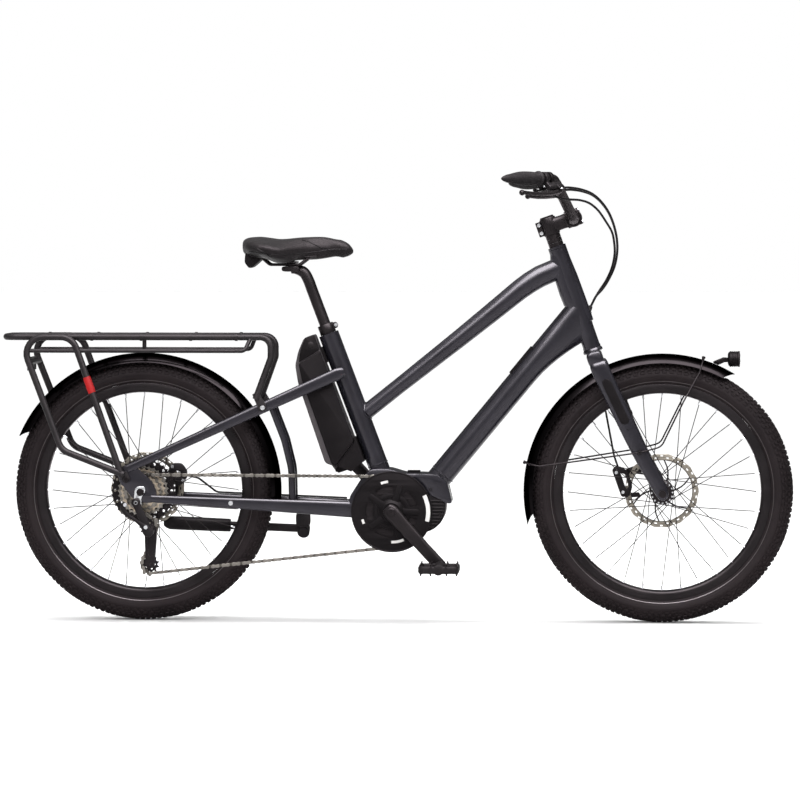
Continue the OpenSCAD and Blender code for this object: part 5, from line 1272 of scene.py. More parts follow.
# %% Links
PLATE_R, WAIST, PLATE_THICK = 4.1, 2.9, 0.9
LINK_ENDS = Vector((PITCH / 2, 0, 0)), Vector((-PITCH / 2, 0, 0))
LINK_OUTLINE = circle(LINK_ENDS[0], PLATE_R, 8, -110, 220) + [(0, WAIST)]
LINK_OUTLINE += circle(LINK_ENDS[1], PLATE_R, 8, 70, 220) + [(0, -WAIST)]
Y_AND_Z_SWAPPED = Matrix(((1, 0, 0, 0), (0, 0, 1, 0), (0, 1, 0, 0), (0, 0, 0, 1)))


def link_shape(outer):
    """One link along X: two waisted plates with pins in an outer link, and with rollers in an inner one."""
    shape = blank()
    gap, radius, half = (2.9, 1.9, 4.2) if outer else (1.9, 3.9, 1.8)
    for side in SIDES:
        plate(shape, [LINK_OUTLINE], side * gap, side * (gap + PLATE_THICK), 0.2)
    for end in LINK_ENDS:
        spin(shape, [(0, -half), (radius, -half), (radius, half), (0, half)], end, steps=10)
    bmesh.ops.transform(shape, matrix=Y_AND_Z_SWAPPED, verts=shape.verts)
    return shape


def chain_piece(run, name, outer, plating, body):
    """Every second link of a run, as a piece."""
    start, end = CHAIN_RUNS[run]
    middles = [links[i] for i in range(start, end) if i % 2 == outer]
    mesh = repeat(link_shape(outer), [middles], len(middles), plating, loop=False)
    return piece("chain_" + name, mesh, plating, body, "steel", "chain")


for kind, outer, plating in (("outer", 1, nickel), ("inner", 0, roller_steel)):
    chain_piece("top", "top_" + kind, outer, plating, "frame")
    chain_piece("cage", "on_cage_" + kind, outer, plating, "derailleur_cage")
    for run, start, end in (("drop", rear_arc[-1], guide_arc[0]), ("return", crank_arc[0], tension_arc[-1])):
        bending = chain_piece(run, run + "_" + kind, outer, plating, None)
        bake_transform(bending)
print("chain links", len(links))

# %% [markdown]
# Sprockets are stamped plates: a toothed outline with round windows. The chainring has the same teeth and
# a smooth guard disc outside it, with curved windows and pale printed arcs.

# %% Chainring and guard
RING_R, RING_TEETH, RING_BORE, RING_HALF = 84.5, 42, 28, 1.4
GUARD_R, GUARD_ARMS, BOLT_AT = 98, range(0, 360, 72), 58
# Middle and length in degrees of three short arcs
INLAYS = ((104, 14), (199, 9), (281, 24))
INLAY_IN, INLAY_OUT = 70, 76.5
GUARD_LIP = [(94, -53.6), (98, -53.6), (98, -56.6), (96, -57.2), (94, -56.4)]
GUARD_BOSS = [(16, -44), (30, -44), (30, -57), (27, -60), (22, -64), (16, -64)]
GUARD_BOLT = [(4.4, -48), (4.4, -57.6), (3.2, -58.4), (2.0, -58.4), (2.0, -57.2)]
ARM_RINGS = ovals([(5, 20, 3), (4.6, 15, 3), (4, 15, 3), (3, 10, 3)], sides=16)


def toothed(centre, radius, teeth, tall=3.6, sides=6):
    """A toothed outline about a pitch radius."""
    spots = []
    for k in range(teeth * sides):
        peak = max(0.0, 1 - abs(k % sides / sides - 0.5) * 3.2)
        spots.append((radius - tall * (0.9 - peak * 1.5), 360 * k / (teeth * sides)))
    return polar(centre, spots)


def arc_window(low, high, start, turn):
    """A curved slot about the crank."""
    return circle(CRANK, low, 10, start, turn) + circle(CRANK, high, 10, start + turn, -turn)


ring = plate(blank(), [toothed(CRANK, RING_R, RING_TEETH), circle(CRANK, RING_BORE)], CHAIN_Y - RING_HALF,
             CHAIN_Y + RING_HALF, 0.4)
settle("toothed_chainring", ring, dark_steel, "crank", "black_metal", "chainring")
short_arcs = [arc_window(INLAY_IN, INLAY_OUT, a - turn / 2, turn) for a, turn in INLAYS]
windows = [arc_window(46, 63, a + 15, 42) for a in GUARD_ARMS]
guard = plate(blank(), [circle(CRANK, GUARD_R, 96)] + short_arcs + windows, -56, -54, 0.8)
spin(guard, GUARD_LIP, CRANK, steps=96, ring=True)
spin(guard, GUARD_BOSS, CRANK, ring=True)
for a in GUARD_ARMS:
    spin(guard, GUARD_BOLT, CRANK + BOLT_AT * toward(a), steps=14)
    plate(guard, [arc_window(34, 43, a + 8, 54)], -57.4, -55.4, 0.6)
    sweep(guard, [CRANK + d * toward(a) - 57 * ACROSS for d in (26, 40, 62, 66)], ARM_RINGS)
settle("chain_guard", guard, moulded, "crank", "black_plastic", "chainring")
inlay = plate(blank(), [arc_window(83, 93, -15, 42)], -56.6, -55, 0.3)
for outline in short_arcs:
    plate(inlay, [outline], -54.6, -53.2, 0.3)
settle("guard_inlay", inlay, pale_print, "crank", "black_plastic")
print("chainring made")

# %% Crank arms
CRANK_LEN, ARM_Y = 175.0, 73
CRANK_OUT = toward(-47.5)
# Distance from the spindle, width and thickness of an arm
ARM_STOPS = [(-16, 24, 15), (-10, 33, 17.4), (0, 38, 18), (14, 37, 18), (50, 33, 17), (120, 30, 16),
             (160, 31, 17), (175, 31, 17.6), (184, 25, 17), (190, 14, 15)]
PEDAL_AXLE = [(6, 64), (6, 180), (5, 182)]
PEDAL_COLLAR = [(9, 80), (9, 84), (8, 85)]
CRANK_CAP = [(0, 83), (3, 83), (3.4, 84), (9, 84), (10.4, 83), (10.6, 80)]
arms, caps = blank(), blank()
for side in SIDES:
    out = -side * CRANK_OUT
    across = ACROSS.cross(out)
    rings = []
    for d, wide, thick in ARM_STOPS:
        middle = CRANK + d * out + side * ARM_Y * ACROSS
        rings.append([middle + a * across + b * ACROSS for a, b in oval(wide, thick, 3.0, 28)])
    skin(arms, rings)
    for profile in (PEDAL_AXLE, PEDAL_COLLAR):
        spin(arms, profile, CRANK + CRANK_LEN * out, side * ACROSS, steps=24)
    spin(caps, CRANK_CAP, CRANK, side * ACROSS, steps=32)
spin(arms, [(11.8, -76), (11.8, 65)], CRANK, steps=32)
settle("forged_cranks", arms, anodised, "crank", "black_metal", "crank_arms", sharp=45)
settle("crank_bolts", caps, dark_steel, "crank", "steel")
print("cranks made")

# %% Pedals
PEDAL_IN, PEDAL_OUT, PEDAL_HALF = 92.0, 186.0, 49.0
PEDAL_MID = (PEDAL_IN + PEDAL_OUT) / 2
PEDAL_TUBE = [(8, 90), (13.5, 92), (13.5, 106), (11, 112), (11, 170), (12.5, 174), (12.5, 185), (10, 186)]
PIN = [(1.4, -14.6), (2.0, -13.8), (2.0, 13.8), (1.4, 14.6)]
# Ahead of the pedal's axle, and across
PINS = [(x, y) for x in (-43, -19, 19, 43) for y in (100, PEDAL_MID, 178) if abs(x) > 30 or y != PEDAL_MID]


def pedal(which, side):
    body, centre = "pedal_" + which, CRANK - side * CRANK_LEN * CRANK_OUT
    shape, pins = blank(), blank()
    low, high, half = PEDAL_IN + 4, PEDAL_OUT - 4, PEDAL_HALF - 4
    corners = eased([(-half, low), (half, low), (half, high), (-half, high)], 12)
    loop = [near(centre, x, 0, side * y) for x, y in corners]
    sweep(shape, loop, oval(18, 8, 3.4, 16), side=UPWARD, loop=True)
    for x in (-18, 18):
        bar = [near(centre, x, 0, side * y) for y in (PEDAL_IN, PEDAL_OUT)]
        sweep(shape, bar, oval(17, 7, 3.4, 16), side=UPWARD)
    spin(shape, PEDAL_TUBE, centre, side * ACROSS, steps=28)
    settle(which + "_pedal_cage", shape, nylon, body, "black_plastic", body)
    for x, y in PINS:
        spin(pins, PIN, near(centre, x, 0, side * y), UPWARD, steps=10)
    settle(which + "_pedal_cage_pins", pins, dark_steel, body, "steel")


pedal("right", -1)
pedal("left", 1)
print("pedals made")

# %% Sprockets
SPROCKETS, FIRST_Y, SPROCKET_GAP, SPROCKET_HALF, SPLINE_R = 10, -26.0, 4, 0.9, 16.6
LARGE_ONES, STEEP_ONES, LEAST_TEETH = 2, 6, 11
# How far inside the teeth a ring of windows lies, how many there are, and their radius
WINDOW_RINGS = ((10, 16, 3.4), (20, 12, 4.4), (31, 8, 5.0))
WINDOWED_FROM, WINDOWS_END = 46, 26
SPROCKET_TUBE = [(15.2, -26), (19, -26), (19, -63), (15.2, -63)]
LOCK_RING = [(10, -64.4), (18, -64.4), (19.4, -63.6), (19.4, -62.5), (10, -62.5)]
odd, even, large = blank(), blank(), blank()
for i in range(SPROCKETS):
    reach = 79 - 37 * (i / 5) ** 0.85 if i < STEEP_ONES else 35.7 - 4 * (i - STEEP_ONES)
    teeth = max(LEAST_TEETH, round(2 * pi * reach / PITCH))
    y = FIRST_Y - SPROCKET_GAP * i
    outlines = [toothed(REAR, reach - 1.2, teeth, 3.0, 4), circle(REAR, SPLINE_R)]
    for inside, count, size in WINDOW_RINGS:
        if reach > WINDOWED_FROM and reach - inside > WINDOWS_END:
            outlines += hole_ring(REAR, reach - inside, count, size, 12, 0.3 * i)
    shape = large if i < LARGE_ONES else odd if i % 2 else even
    plate(shape, outlines, y - SPROCKET_HALF, y + SPROCKET_HALF, 0.2)
spin(odd, SPROCKET_TUBE, REAR, steps=40, ring=True)
plated = ("toothed", odd, champagne), ("plain", even, nickel), ("large", large, dark_steel)
for name, shape, plating in plated:
    settle(name + "_sprockets", shape, plating, "cassette", "sprocket", "cassette", sharp=30)
lock_ring = spin(blank(), LOCK_RING, REAR, steps=40, ring=True)
settle("cassette_lock_ring", lock_ring, dark_steel, "cassette", "steel")
print("sprockets made")

# %% [markdown]
# The rear changer hangs under the axle: a body with two knuckles and a pair of links, and a long cage
# with two toothed guide wheels. The cage swings, so its plates and the wheels ride on their own bodies.

# %% Rear changer
HANGER, CAGE_PIVOT = near(REAR, -10, -25), near(REAR, 21, -94)
CAGE_BOLT = [(0, -59.6), (2, -59.6), (2.2, -58.8), (4.2, -58.8), (4.2, -58), (2.9, -58), (2.9, -41),
             (4, -41), (4, -40)]
WHEEL_R, WHEEL_TEETH, WHEEL_BORE = 21.4, 11, 3.05
WHEEL_TUBE = [(WHEEL_BORE, -54), (6, -54), (6, -46), (WHEEL_BORE, -46)]
KNUCKLE = [(-40, -18), (-36, -40), (-22, -56), (0, -70), (24, -82), (32, -96), (24, -110), (8, -104),
           (2, -84), (-18, -66), (-34, -60), (-50, -40)]
HANGER_BOLT = [(0, -97), (3.4, -97), (4, -96.4), (6.4, -96.4), (6.8, -95), (6.8, -93)]
CHANGER_PIVOT = [(0, 95.6), (2.0, 95.6), (2.2, 96.8), (4.4, 96.8), (5, 96), (5, 93)]


cage, changer, pivots = blank(), blank(), blank()
for y in (CHAIN_Y - 8.3, CHAIN_Y + 6.7):
    plate(cage, [two_drums(CAGE_PIVOT, 15, TENSION_AT, 10.5)], y, y + 1.6, 0.3)
    plate(cage, [two_drums(near(GUIDE_AT, 6, -20), 8, near(TENSION_AT, 2, 26), 6)], y - 0.6, y + 2.2, 0.5)
for name, at in (("guide", GUIDE_AT), ("tension", TENSION_AT)):
    spin(cage, CAGE_BOLT, at, steps=16)
    outlines = [toothed(at, WHEEL_R, WHEEL_TEETH, 4.0), circle(at, WHEEL_BORE, 20)]
    outlines += hole_ring(at, 10.5, 5, 2.6, 10)
    wheel = plate(blank(), outlines, CHAIN_Y - 1.6, CHAIN_Y + 1.6, 0.4)
    spin(wheel, WHEEL_TUBE, at, steps=20, ring=True)
    settle(name + "_wheel", wheel, nylon, name + "_pulley", "black_plastic", name + "_pulley")
settle("changer_cage", cage, anodised, "derailleur_cage", "black_metal", "derailleur_cage")
for at, high in ((HANGER, -85), (CAGE_PIVOT, -59)):
    spin(changer, [(8, -94), (11, -92), (11, high - 1), (9, high)], at, steps=32)
for y, wide in ((-93.4, 9.4), (-88.4, 7.4)):
    plate(changer, [two_drums(HANGER, wide, CAGE_PIVOT, wide)], y, y + 3.4, 0.8)
plate(changer, [drawn(REAR, KNUCKLE, 9)], -95, -86, 2.4)
spin(changer, HANGER_BOLT, HANGER, steps=24)
settle("changer_body", changer, cast_alloy, "frame", "black_metal", "derailleur_body")
for x, z in ((-36, -30), (-10, -25), (14, -84)):
    spin(pivots, CHANGER_PIVOT, near(REAR, x, z), -ACROSS, steps=18)
settle("changer_pivots", pivots, stainless, "frame", "steel")
print("changer made")

# %% [markdown]
# ## Bar, stem and controls
# Everything on a grip is drawn once in the grip's own space: Z runs out along the grip, X points at the
# brake lever. One matrix puts it on the left, and the same matrix mirrored puts it on the right.

# %% Bar and stem
STEM_AHEAD, STEM_MID = 60, 694
# Off the head's line, across, and along it
BAR = [(60, 0, 694), (60, 45, 694), (48, 187, 795), (-62, 331, 831)]
BAR_R, BAR_TAPER, TAPER_FROM, TAPER_RUN, BAR_BEND = 12.5, 1.4, 150, 60, 36
BAR_MIDDLE = [(11, -46), (12.6, -42), (15.9, -32), (15.9, 32), (12.6, 42), (11, 46)]
STEM_CLAMP = [(14.4, 673), (19, 673), (19.8, 674.5), (19.8, 713), (19, 715), (14.4, 715)]
STEM_RINGS = ovals([(36, 38, 4), (31, 35, 3.4), (32, 34, 3.4), (40, 36, 4)], sides=28)
BOLT_TUBE = [(5.4, -18), (5.4, 17), (4.4, 18.4)]
BOLT_HEAD = [(0, 1.2), (2.2, 1.2), (2.4, 3.4), (4.2, 3.4), (4.6, 2.4), (4.6, 0)]
SPACER_FEET = (643.1, 653.1, 663.1)
SPACER = [(14.4, 0), (17.4, 0), (18, 0.6), (18, 9.2), (17.4, 9.8), (14.4, 9.8)]
TOP_CAP = [(0, 717.6), (4, 717.6), (5, 719.2), (15, 719.2), (17, 717.6), (17, 715.2), (0, 715.2)]
SILVER_RING = [(18, 640.6), (20.6, 640.8), (20.6, 643), (18, 643)]
bar_left = [on_head(u, s, y) for u, y, s in BAR]
bar_right = [on_head(u, s, -y) for u, y, s in BAR]
bar_ends = [line[2].lerp(line[3], 0.75) for line in (bar_right, bar_left)]
bar_path = bent([bar_ends[0]] + bar_right[2:0:-1] + bar_left[1:3] + [bar_ends[1]], BAR_BEND, 10)
tapers = [min(1.0, max(0.0, (abs(p.y) - TAPER_FROM) / TAPER_RUN)) for p in bar_path]
bar = sweep(blank(), bar_path, [rod(BAR_R - BAR_TAPER * t, 28) for t in tapers], side=UPWARD)
spin(bar, BAR_MIDDLE, on_head(STEM_AHEAD, STEM_MID), steps=36)
settle("bent_bar", bar, anodised, "steering", "black_metal", "handlebar")
stem = spin(blank(), STEM_CLAMP, HEAD_FOOT, HEAD_UP, steps=40, ring=True)
sweep(stem, [on_head(u, STEM_MID) for u in (4, 18, 32, 46)], STEM_RINGS)
clamp_lines = [circle(Vector((STEM_AHEAD, 0, STEM_MID)), r, sides) for r, sides in ((21.6, 48), (15.9, 40))]
plate(stem, [on_line(on_head, line) for line in clamp_lines], -24, 24, 1.4)
screws, spacers = blank(), blank()
for y in (-16, 16):
    for s in (STEM_MID - 15, STEM_MID + 15):
        spin(stem, BOLT_TUBE, on_head(STEM_AHEAD, s, y), HEAD_FWD, steps=20)
        spin(screws, BOLT_HEAD, on_head(STEM_AHEAD + 18, s, y), HEAD_FWD, steps=16)
for s in (STEM_MID - 10, STEM_MID + 10):
    spin(screws, BOLT_HEAD, on_head(-24, s, -10), -ACROSS, steps=16)
sweep(stem, [on_head(-24, STEM_MID - 18), on_head(-24, STEM_MID + 18)], oval(20, 15, 4), round_ends=2.0)
for low in SPACER_FEET:
    spin(spacers, [(r, low + up) for r, up in SPACER], HEAD_FOOT, HEAD_UP, steps=40, ring=True)
spin(spacers, TOP_CAP, HEAD_FOOT, HEAD_UP, steps=40)
settle("forged_stem", stem, anodised, "steering", "black_metal", "stem", sharp=40)
settle("stem_spacers", spacers, anodised, "steering", "black_metal", "stem_hardware")
settle("stem_screws", screws, stainless, "steering", "steel", "stem_hardware")
silver_ring = spin(blank(), SILVER_RING, HEAD_FOOT, HEAD_UP, steps=40, ring=True)
settle("headset_silver_ring", silver_ring, stainless, "steering", "steel")
print("bar and stem made")

# %% Grip space
GRIP_AXIS = (bar_left[3] - bar_left[2]).normalized()
to_lever = 0.3 * HEAD_FWD + 0.3 * ACROSS - 0.9 * HEAD_UP
GRIP_X = (to_lever - to_lever.dot(GRIP_AXIS) * GRIP_AXIS).normalized()
LEFT_SPACE = Matrix((GRIP_X, GRIP_AXIS.cross(GRIP_X), GRIP_AXIS)).transposed().to_4x4()
LEFT_SPACE.translation = bar_left[2]
GRIP_SPACE = {"left": LEFT_SPACE, "right": Matrix.Scale(-1, 4, ACROSS) @ LEFT_SPACE}
GRIP_END = (bar_left[3] - bar_left[2]).length
GRIP_START = GRIP_END - 130
RIB_PITCH, PALM_R, PALM_SWELL, THINNING = 4.7, 14.6, 2.4, 4.6
GRIP_COLLAR = [(3, 0), (17.2, 0), (18, 0.8), (18, 3.2), (17, 4.2)]
GRIP_TIP = [(9.6, -16), (7.4, -8), (5, -1), (3, 3), (1, 3.9)]
BRAKE_CLAMP = [(11.3, 31), (15.4, 31), (16.1, 32), (16.1, 43), (15.4, 44), (11.3, 44)]
RESERVOIR = [(2, -14), (5, -13.6), (6.2, -11), (8.2, -8), (9, -4), (9, 18), (8.4, 40), (6, 43.4), (2, 44)]
LID_RINGS = ovals([(13, 9, 4), (17, 12, 4), (17, 12, 4), (13, 9, 4)])
CHEEK_RINGS = ovals([(3.2, 18, 3), (3.4, 16, 3), (3.2, 11, 3)])
LEVER_PIN = [(0, -11), (2.4, -11), (3, -10.2), (3, 10.2), (2.4, 11), (0, 11)]
CLAMP_SCREW = [(0, 7.4), (1.6, 7.4), (1.8, 8.6), (3, 8.6), (3.2, 8), (3.2, 5)]
# Towards the lever, out along the grip, width and thickness of the blade
LEVER = [(36, 2, 11, 10), (38, 8, 11.6, 13), (42, 22, 10, 11), (46, 46, 9, 9.5), (47.4, 80, 9, 9),
         (46.6, 112, 9, 8.6), (43.6, 136, 9, 8), (42, 146, 9, 8)]
LEVER_BALL = [(0, -7), (3.4, -6.2), (6, -3.6), (7, 0), (6, 3.6), (3.4, 6.2), (0, 7)]
POD_CLAMP = [(11.3, 15), (15.4, 15), (16.1, 16), (16.1, 24), (15.4, 25), (11.3, 25)]
POD_RINGS = ovals([(20, 16, 4), (22, 20, 4), (25, 23, 4), (25, 23, 4), (25, 23, 4), (21, 19, 4)])
POD_PIN = [(0, -17.4), (2.2, -17.4), (2.5, -16.8), (2.5, 16.4), (2.2, 17), (0, 17)]
PADDLE_PIVOT = Vector((0, 24, 22))
PADDLE_EYE = [(2.55, 0), (5.6, 0), (6, 0.4), (6, 3.6), (5.6, 4), (2.55, 4)]
PADDLE_RINGS = ovals([(4, 7, 3), (4, 6, 3), (4.6, 5, 3), (10, 5, 3), (10, 5, 3), (6, 3.6, 3)])
BUTTON = [(4.8, 29.1), (4.95, 30), (4.95, 34.2), (4.2, 35), (2.4, 35.2), (0, 35.0)]


def on_grip(name, side, draw, material, body, slot, *stands_for):
    """Draws something in grip space, moves it to one side of the bar and makes it a piece."""
    shape = blank()
    draw(shape)
    bmesh.ops.transform(shape, matrix=GRIP_SPACE[side], verts=shape.verts)
    settle(side + "_" + name, shape, material, body, slot, *stands_for)


# %% What is drawn on a grip
def draw_grip(shape):
    """A ribbed grip that swells for the palm and ends in a point."""
    profile = [(r, GRIP_START + out) for r, out in GRIP_COLLAR]
    z = GRIP_START + 6
    while z < GRIP_END - 24:
        along = z - GRIP_START
        swell = PALM_R + PALM_SWELL * sin(pi * min(1.0, along / 100))
        swell -= THINNING * max(0.0, (along - 60) / 50) ** 1.4
        profile += [(swell, z), (swell, z + 2.6), (swell - 0.7, z + 3.1), (swell - 0.7, z + 4.2)]
        z += RIB_PITCH
    profile += [(r, GRIP_END + out) for r, out in GRIP_TIP]
    spin(shape, profile, Vector(), UPWARD, steps=36)


def draw_brake(shape):
    """A lever body: clamp, neck, reservoir, lid and two cheeks for the lever."""
    spin(shape, BRAKE_CLAMP, Vector(), UPWARD, steps=32, ring=True)
    sweep(shape, [(14, 0, 37.5), (26, 0, 34)], ovals([(13, 13, 4), (15, 17, 4)]))
    spin(shape, RESERVOIR, Vector((27, 0, 0)), UPWARD, steps=28)
    sweep(shape, [(20, 0, z) for z in (-4, 4, 20, 28)], LID_RINGS)
    for y in (-8.2, 8.2):
        sweep(shape, [(x, y, 8) for x in (24, 34, 42)], CHEEK_RINGS, round_ends=1.0)


def draw_brake_pins(shape):
    spin(shape, LEVER_PIN, Vector((38, 0, 8)), steps=16)
    for z in (34.5, 40.5):
        spin(shape, CLAMP_SCREW, Vector((16.5, 0, z)), steps=14)


def draw_lever(shape):
    rings = [oval(wide, thick, 2.8, 20) for x, z, wide, thick in LEVER]
    sweep(shape, [(x, 0, z) for x, z, wide, thick in LEVER], rings)
    spin(shape, LEVER_BALL, Vector((43, 0, 149)), UPWARD, steps=20)


def draw_pod(shape):
    spin(shape, POD_CLAMP, Vector(), UPWARD, steps=32, ring=True)
    sweep(shape, [(0, y, 18) for y in (12, 15, 17, 24, 31, 33)], POD_RINGS, side=FORWARD)


def draw_pod_pin(shape):
    spin(shape, POD_PIN, PADDLE_PIVOT, FORWARD, steps=14)


def draw_paddle(x, reach):
    """A function that draws a thumb paddle: an eye on the pod's pin and a blade that widens at its end."""
    def draw(shape):
        spin(shape, [(r, x + along) for r, along in PADDLE_EYE], PADDLE_PIVOT, FORWARD, steps=24, ring=True)
        stops = (3, 12, reach - 10, reach - 4, reach + 2, reach + 5.6)
        sweep(shape, [near(PADDLE_PIVOT, x + 2, d, 2) for d in stops], PADDLE_RINGS, side=FORWARD)
    return draw


def draw_button(x):
    def draw(shape):
        spin(shape, BUTTON, Vector((x, 0, 17.5)), steps=24)
    return draw


# %% Grips, brakes and pods
for side in ("left", "right"):
    lever = "brake_lever_" + side
    on_grip("ribbed_grip", side, draw_grip, grip_rubber, "steering", "grip_rubber", "grips")
    on_grip("brake_master", side, draw_brake, cast_alloy, "steering", "brake_black", "brake_bodies")
    on_grip("brake_pins", side, draw_brake_pins, stainless, "steering", "steel")
    on_grip("brake_blade", side, draw_lever, anodised, lever, "brake_black", lever)
on_grip("gear_pod", "right", draw_pod, moulded, "steering", "black_plastic", "shifter_body")
on_grip("gear_pod_pin", "right", draw_pod_pin, dark_steel, "steering", "steel")
for name, x, reach in (("shift", 12.3, 34), ("release", -17.3, 26)):
    lever = name + "_lever"
    on_grip(name + "_paddle", "right", draw_paddle(x, reach), nylon, lever, "black_plastic", lever)
on_grip("assist_pod", "left", draw_pod, moulded, "steering", "black_plastic", "remote_body")
for name, x in (("button_up", -6.5), ("button_down", 5.5)):
    on_grip("assist_" + name, "left", draw_button(x), spine_plastic, name, "button", name)
print("controls made")

# %% [markdown]
# Two brake hoses and the gear cable hang in front of the head tube and go into one port. Each is a cord
# swept along a smooth path from the bar to the port, and it rides on no body between the bar, which
# steers, and the frame, which does not.

# %% Cables
CABLE_R = 2.8
# Ahead of the front axle, across, and above it
HOSE = [(-236.55, 186.9, 730.2), (-221.25, 170, 730.5), (-195.25, 146, 726.5), (-169.25, 122, 716.5),
        (-147.25, 98, 697.5), (-129.25, 75, 671.5), (-117.25, 54, 641.5), (-110.25, 37, 609.5),
        (-109.25, 24, 577.5), (-115.25, 14, 544.5), (-128.25, 9, 514.5), (-143.25, 7, 490.5)]
GEAR_CABLE = [(-275.55, -189.8, 726.3), (-264, -184.5, 714.5), (-247.5, -172.5, 706.5),
              (-225.5, -153.5, 703), (-199.25, -128, 701.5), (-176.25, -102, 694.5),
              (-155.25, -77, 677.5), (-136.25, -50, 650.5), (-122.25, -30, 626.5), (-116.75, -17, 601.5),
              (-115.5, -9, 573.5), (-121.75, -3, 541.5), (-134.75, 0, 511.5), (-150.25, 0, 487.5)]


def cable(name, points, y):
    """A cord from the bar through points to the port, y off the port's middle."""
    ends = [PORT_AT + out * PORT_DIR + y * ACROSS for out in (25, 0.3)]
    path = flowing([FRONT + Vector(p) for p in points] + ends, 6)
    shape = sweep(blank(), path, rod(CABLE_R, 12), side=UPWARD)
    made = settle(name, shape, jacket, None, "cable", "control_cables")
    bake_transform(made)


cable("left_brake_hose", HOSE, 6)
cable("right_brake_hose", [(x, -y, z) for x, y, z in HOSE], -6)
cable("gear_cable", GEAR_CABLE, 0)

# %% [markdown]
# ## Brakes, lamp, stays and stand
# What is left is small: two calipers that straddle their discs, the lamp with its reflector and lens, the
# wire stays that loop over the front fender, the rack and its fittings, and the stand.

# %% Calipers
LINE_R = 2.5
FRONT_CALIPER = [(-52, 18), (-52, 88), (-38, 94), (-17, 74), (-17, 34), (-34, 12)]
FRONT_WINDOW = [(-35, 32), (-35, 74), (-26, 68), (-26, 36)]
# The plates that join the halves: outline, rounding of its corners, start and end across, and edge
FRONT_PLATES = [
    ([(-52, 20), (-52, 86), (-46.5, 90), (-46.5, 15)], 3, 31, 48, 1.0),
    ([(-20, 58), (-20, 78), (22, 78), (22, 58)], 4, 45, 50, 0.8),
    ([(-44, 12), (-44, 24), (-8, 14), (-6, 2)], 3, 43, 50, 0.8),
]
FRONT_LINE = [(-36, 86, 45), (-36, 118, 45), (-20, 225, 63), (-21, 322, 63)]
REAR_CALIPER = [(52, 12), (50, 44), (60, 62), (84, 62), (96, 46), (97, 26), (84, 8)]
REAR_BRIDGE = [(91.5, 50), (97, 44), (97.5, 28), (91.5, 20)]
REAR_FOOT = [(67, -18), (67, 20), (89, 20), (89, -18)]
PIN_HEAD = [(0, 0.8), (1.6, 0.8), (1.8, 2.6), (3.6, 2.6), (4.2, 1.8), (4.2, -1)]
caliper = blank()
for low, high in ((29, 39.4), (42.6, 50)):
    outlines = [on_line(on_head, FRONT_CALIPER, 9), on_line(on_head, FRONT_WINDOW, 3)]
    plate(caliper, outlines, low, high, 2.0)
for outline, ease, low, high, edge in FRONT_PLATES:
    plate(caliper, [on_line(on_head, outline, ease)], low, high, edge)
settle("front_caliper_casting", caliper, cast_alloy, "steering", "brake_black", "front_caliper")
front_line = sweep(blank(), bent([on_head(*p) for p in FRONT_LINE], 60, 10), rod(LINE_R, 12))
settle("front_brake_line", front_line, jacket, "steering", "cable", "front_caliper")
caliper = blank()
for low, high in ((42, 50.2), (53.8, 62)):
    plate(caliper, [drawn(REAR, REAR_CALIPER, 8), circle(near(REAR, 74, 36), 8, 20)], low, high, 2.0)
plate(caliper, [drawn(REAR, REAR_BRIDGE, 2)], 44, 60, 0.8)
plate(caliper, [drawn(REAR, REAR_FOOT, 3)], 56, 62, 0.8)
settle("rear_caliper_casting", caliper, cast_alloy, "frame", "brake_black", "rear_caliper")
on_top = [on_chainstay(t) + (chainstay_tall(t) / 2 + 2.8) * UPWARD for t in (0.7, 0.03)]
rear_path = bent([near(REAR, 94, 32, 58), near(REAR, 124, 26, 58)] + on_top, 24)
rear_line = sweep(blank(), rear_path, rod(LINE_R, 12))
settle("rear_brake_line", rear_line, jacket, "frame", "cable", "rear_caliper")
for name, body, spots in (("front", "steering", (on_head(-44, 28, 29), on_head(-44, 78, 29))),
                          ("rear", "frame", (near(REAR, 62, 54, 42), near(REAR, 88, 20, 42)))):
    pins = blank()
    for at in spots:
        spin(pins, PIN_HEAD, at, -ACROSS, steps=16)
    settle(name + "_caliper_pins", pins, stainless, body, "steel")
print("calipers made")

# %% Lamp
LAMP_FOOT = FRONT + FENDER_R * toward(66)
LAMP_PIVOT = near(LAMP_FOOT, 11, 14)
LAMP_BACK = near(LAMP_PIVOT, 10, 2)
LAMP_RIBS = range(0, 16, 4)
LAMP_RIB = [(19, 7), (19, 9.2), (17.4, 9.8), (17.4, 10.6)]
LAMP_TAIL = [(3, 0), (12, 0.4), (16, 2.4), (18.6, 5.6)]
LAMP_FACE = [(19, 24), (19, 28.4), (18.4, 29), (17.2, 29), (16.8, 26), (10, 17), (3, 15)]
REFLECTOR = [(16.6, 27.2), (13, 22), (8, 18.4), (3.4, 17.2), (3.4, 19.5), (0, 20.5)]
LENS = [(16.9, 27.4), (16.9, 28.6), (12, 30), (6, 30.8), (0, 31), (0, 29.4), (6, 29.2), (12, 28.4)]
ribs = [(r, x + step) for step in LAMP_RIBS for r, x in LAMP_RIB]
lamp = spin(blank(), LAMP_TAIL + ribs + LAMP_FACE, LAMP_BACK, FORWARD)
lamp_arm = two_drums(LAMP_PIVOT, 6, near(LAMP_PIVOT, 13, 0), 5)
plate(lamp, [lamp_arm, circle(LAMP_PIVOT, 2.6, 16)], -4.6, 4.6, 0.6)
settle("lamp_housing", lamp, moulded, "headlamp", "black_plastic", "headlamp")
reflector = spin(blank(), REFLECTOR, LAMP_BACK, FORWARD, steps=40)
settle("lamp_reflector", reflector, mirror_plate, "headlamp", "steel")
lens = spin(blank(), LENS, LAMP_BACK, FORWARD, steps=40, ring=True)
settle("lamp_lens", lens, lens_plastic, "headlamp", "black_plastic")

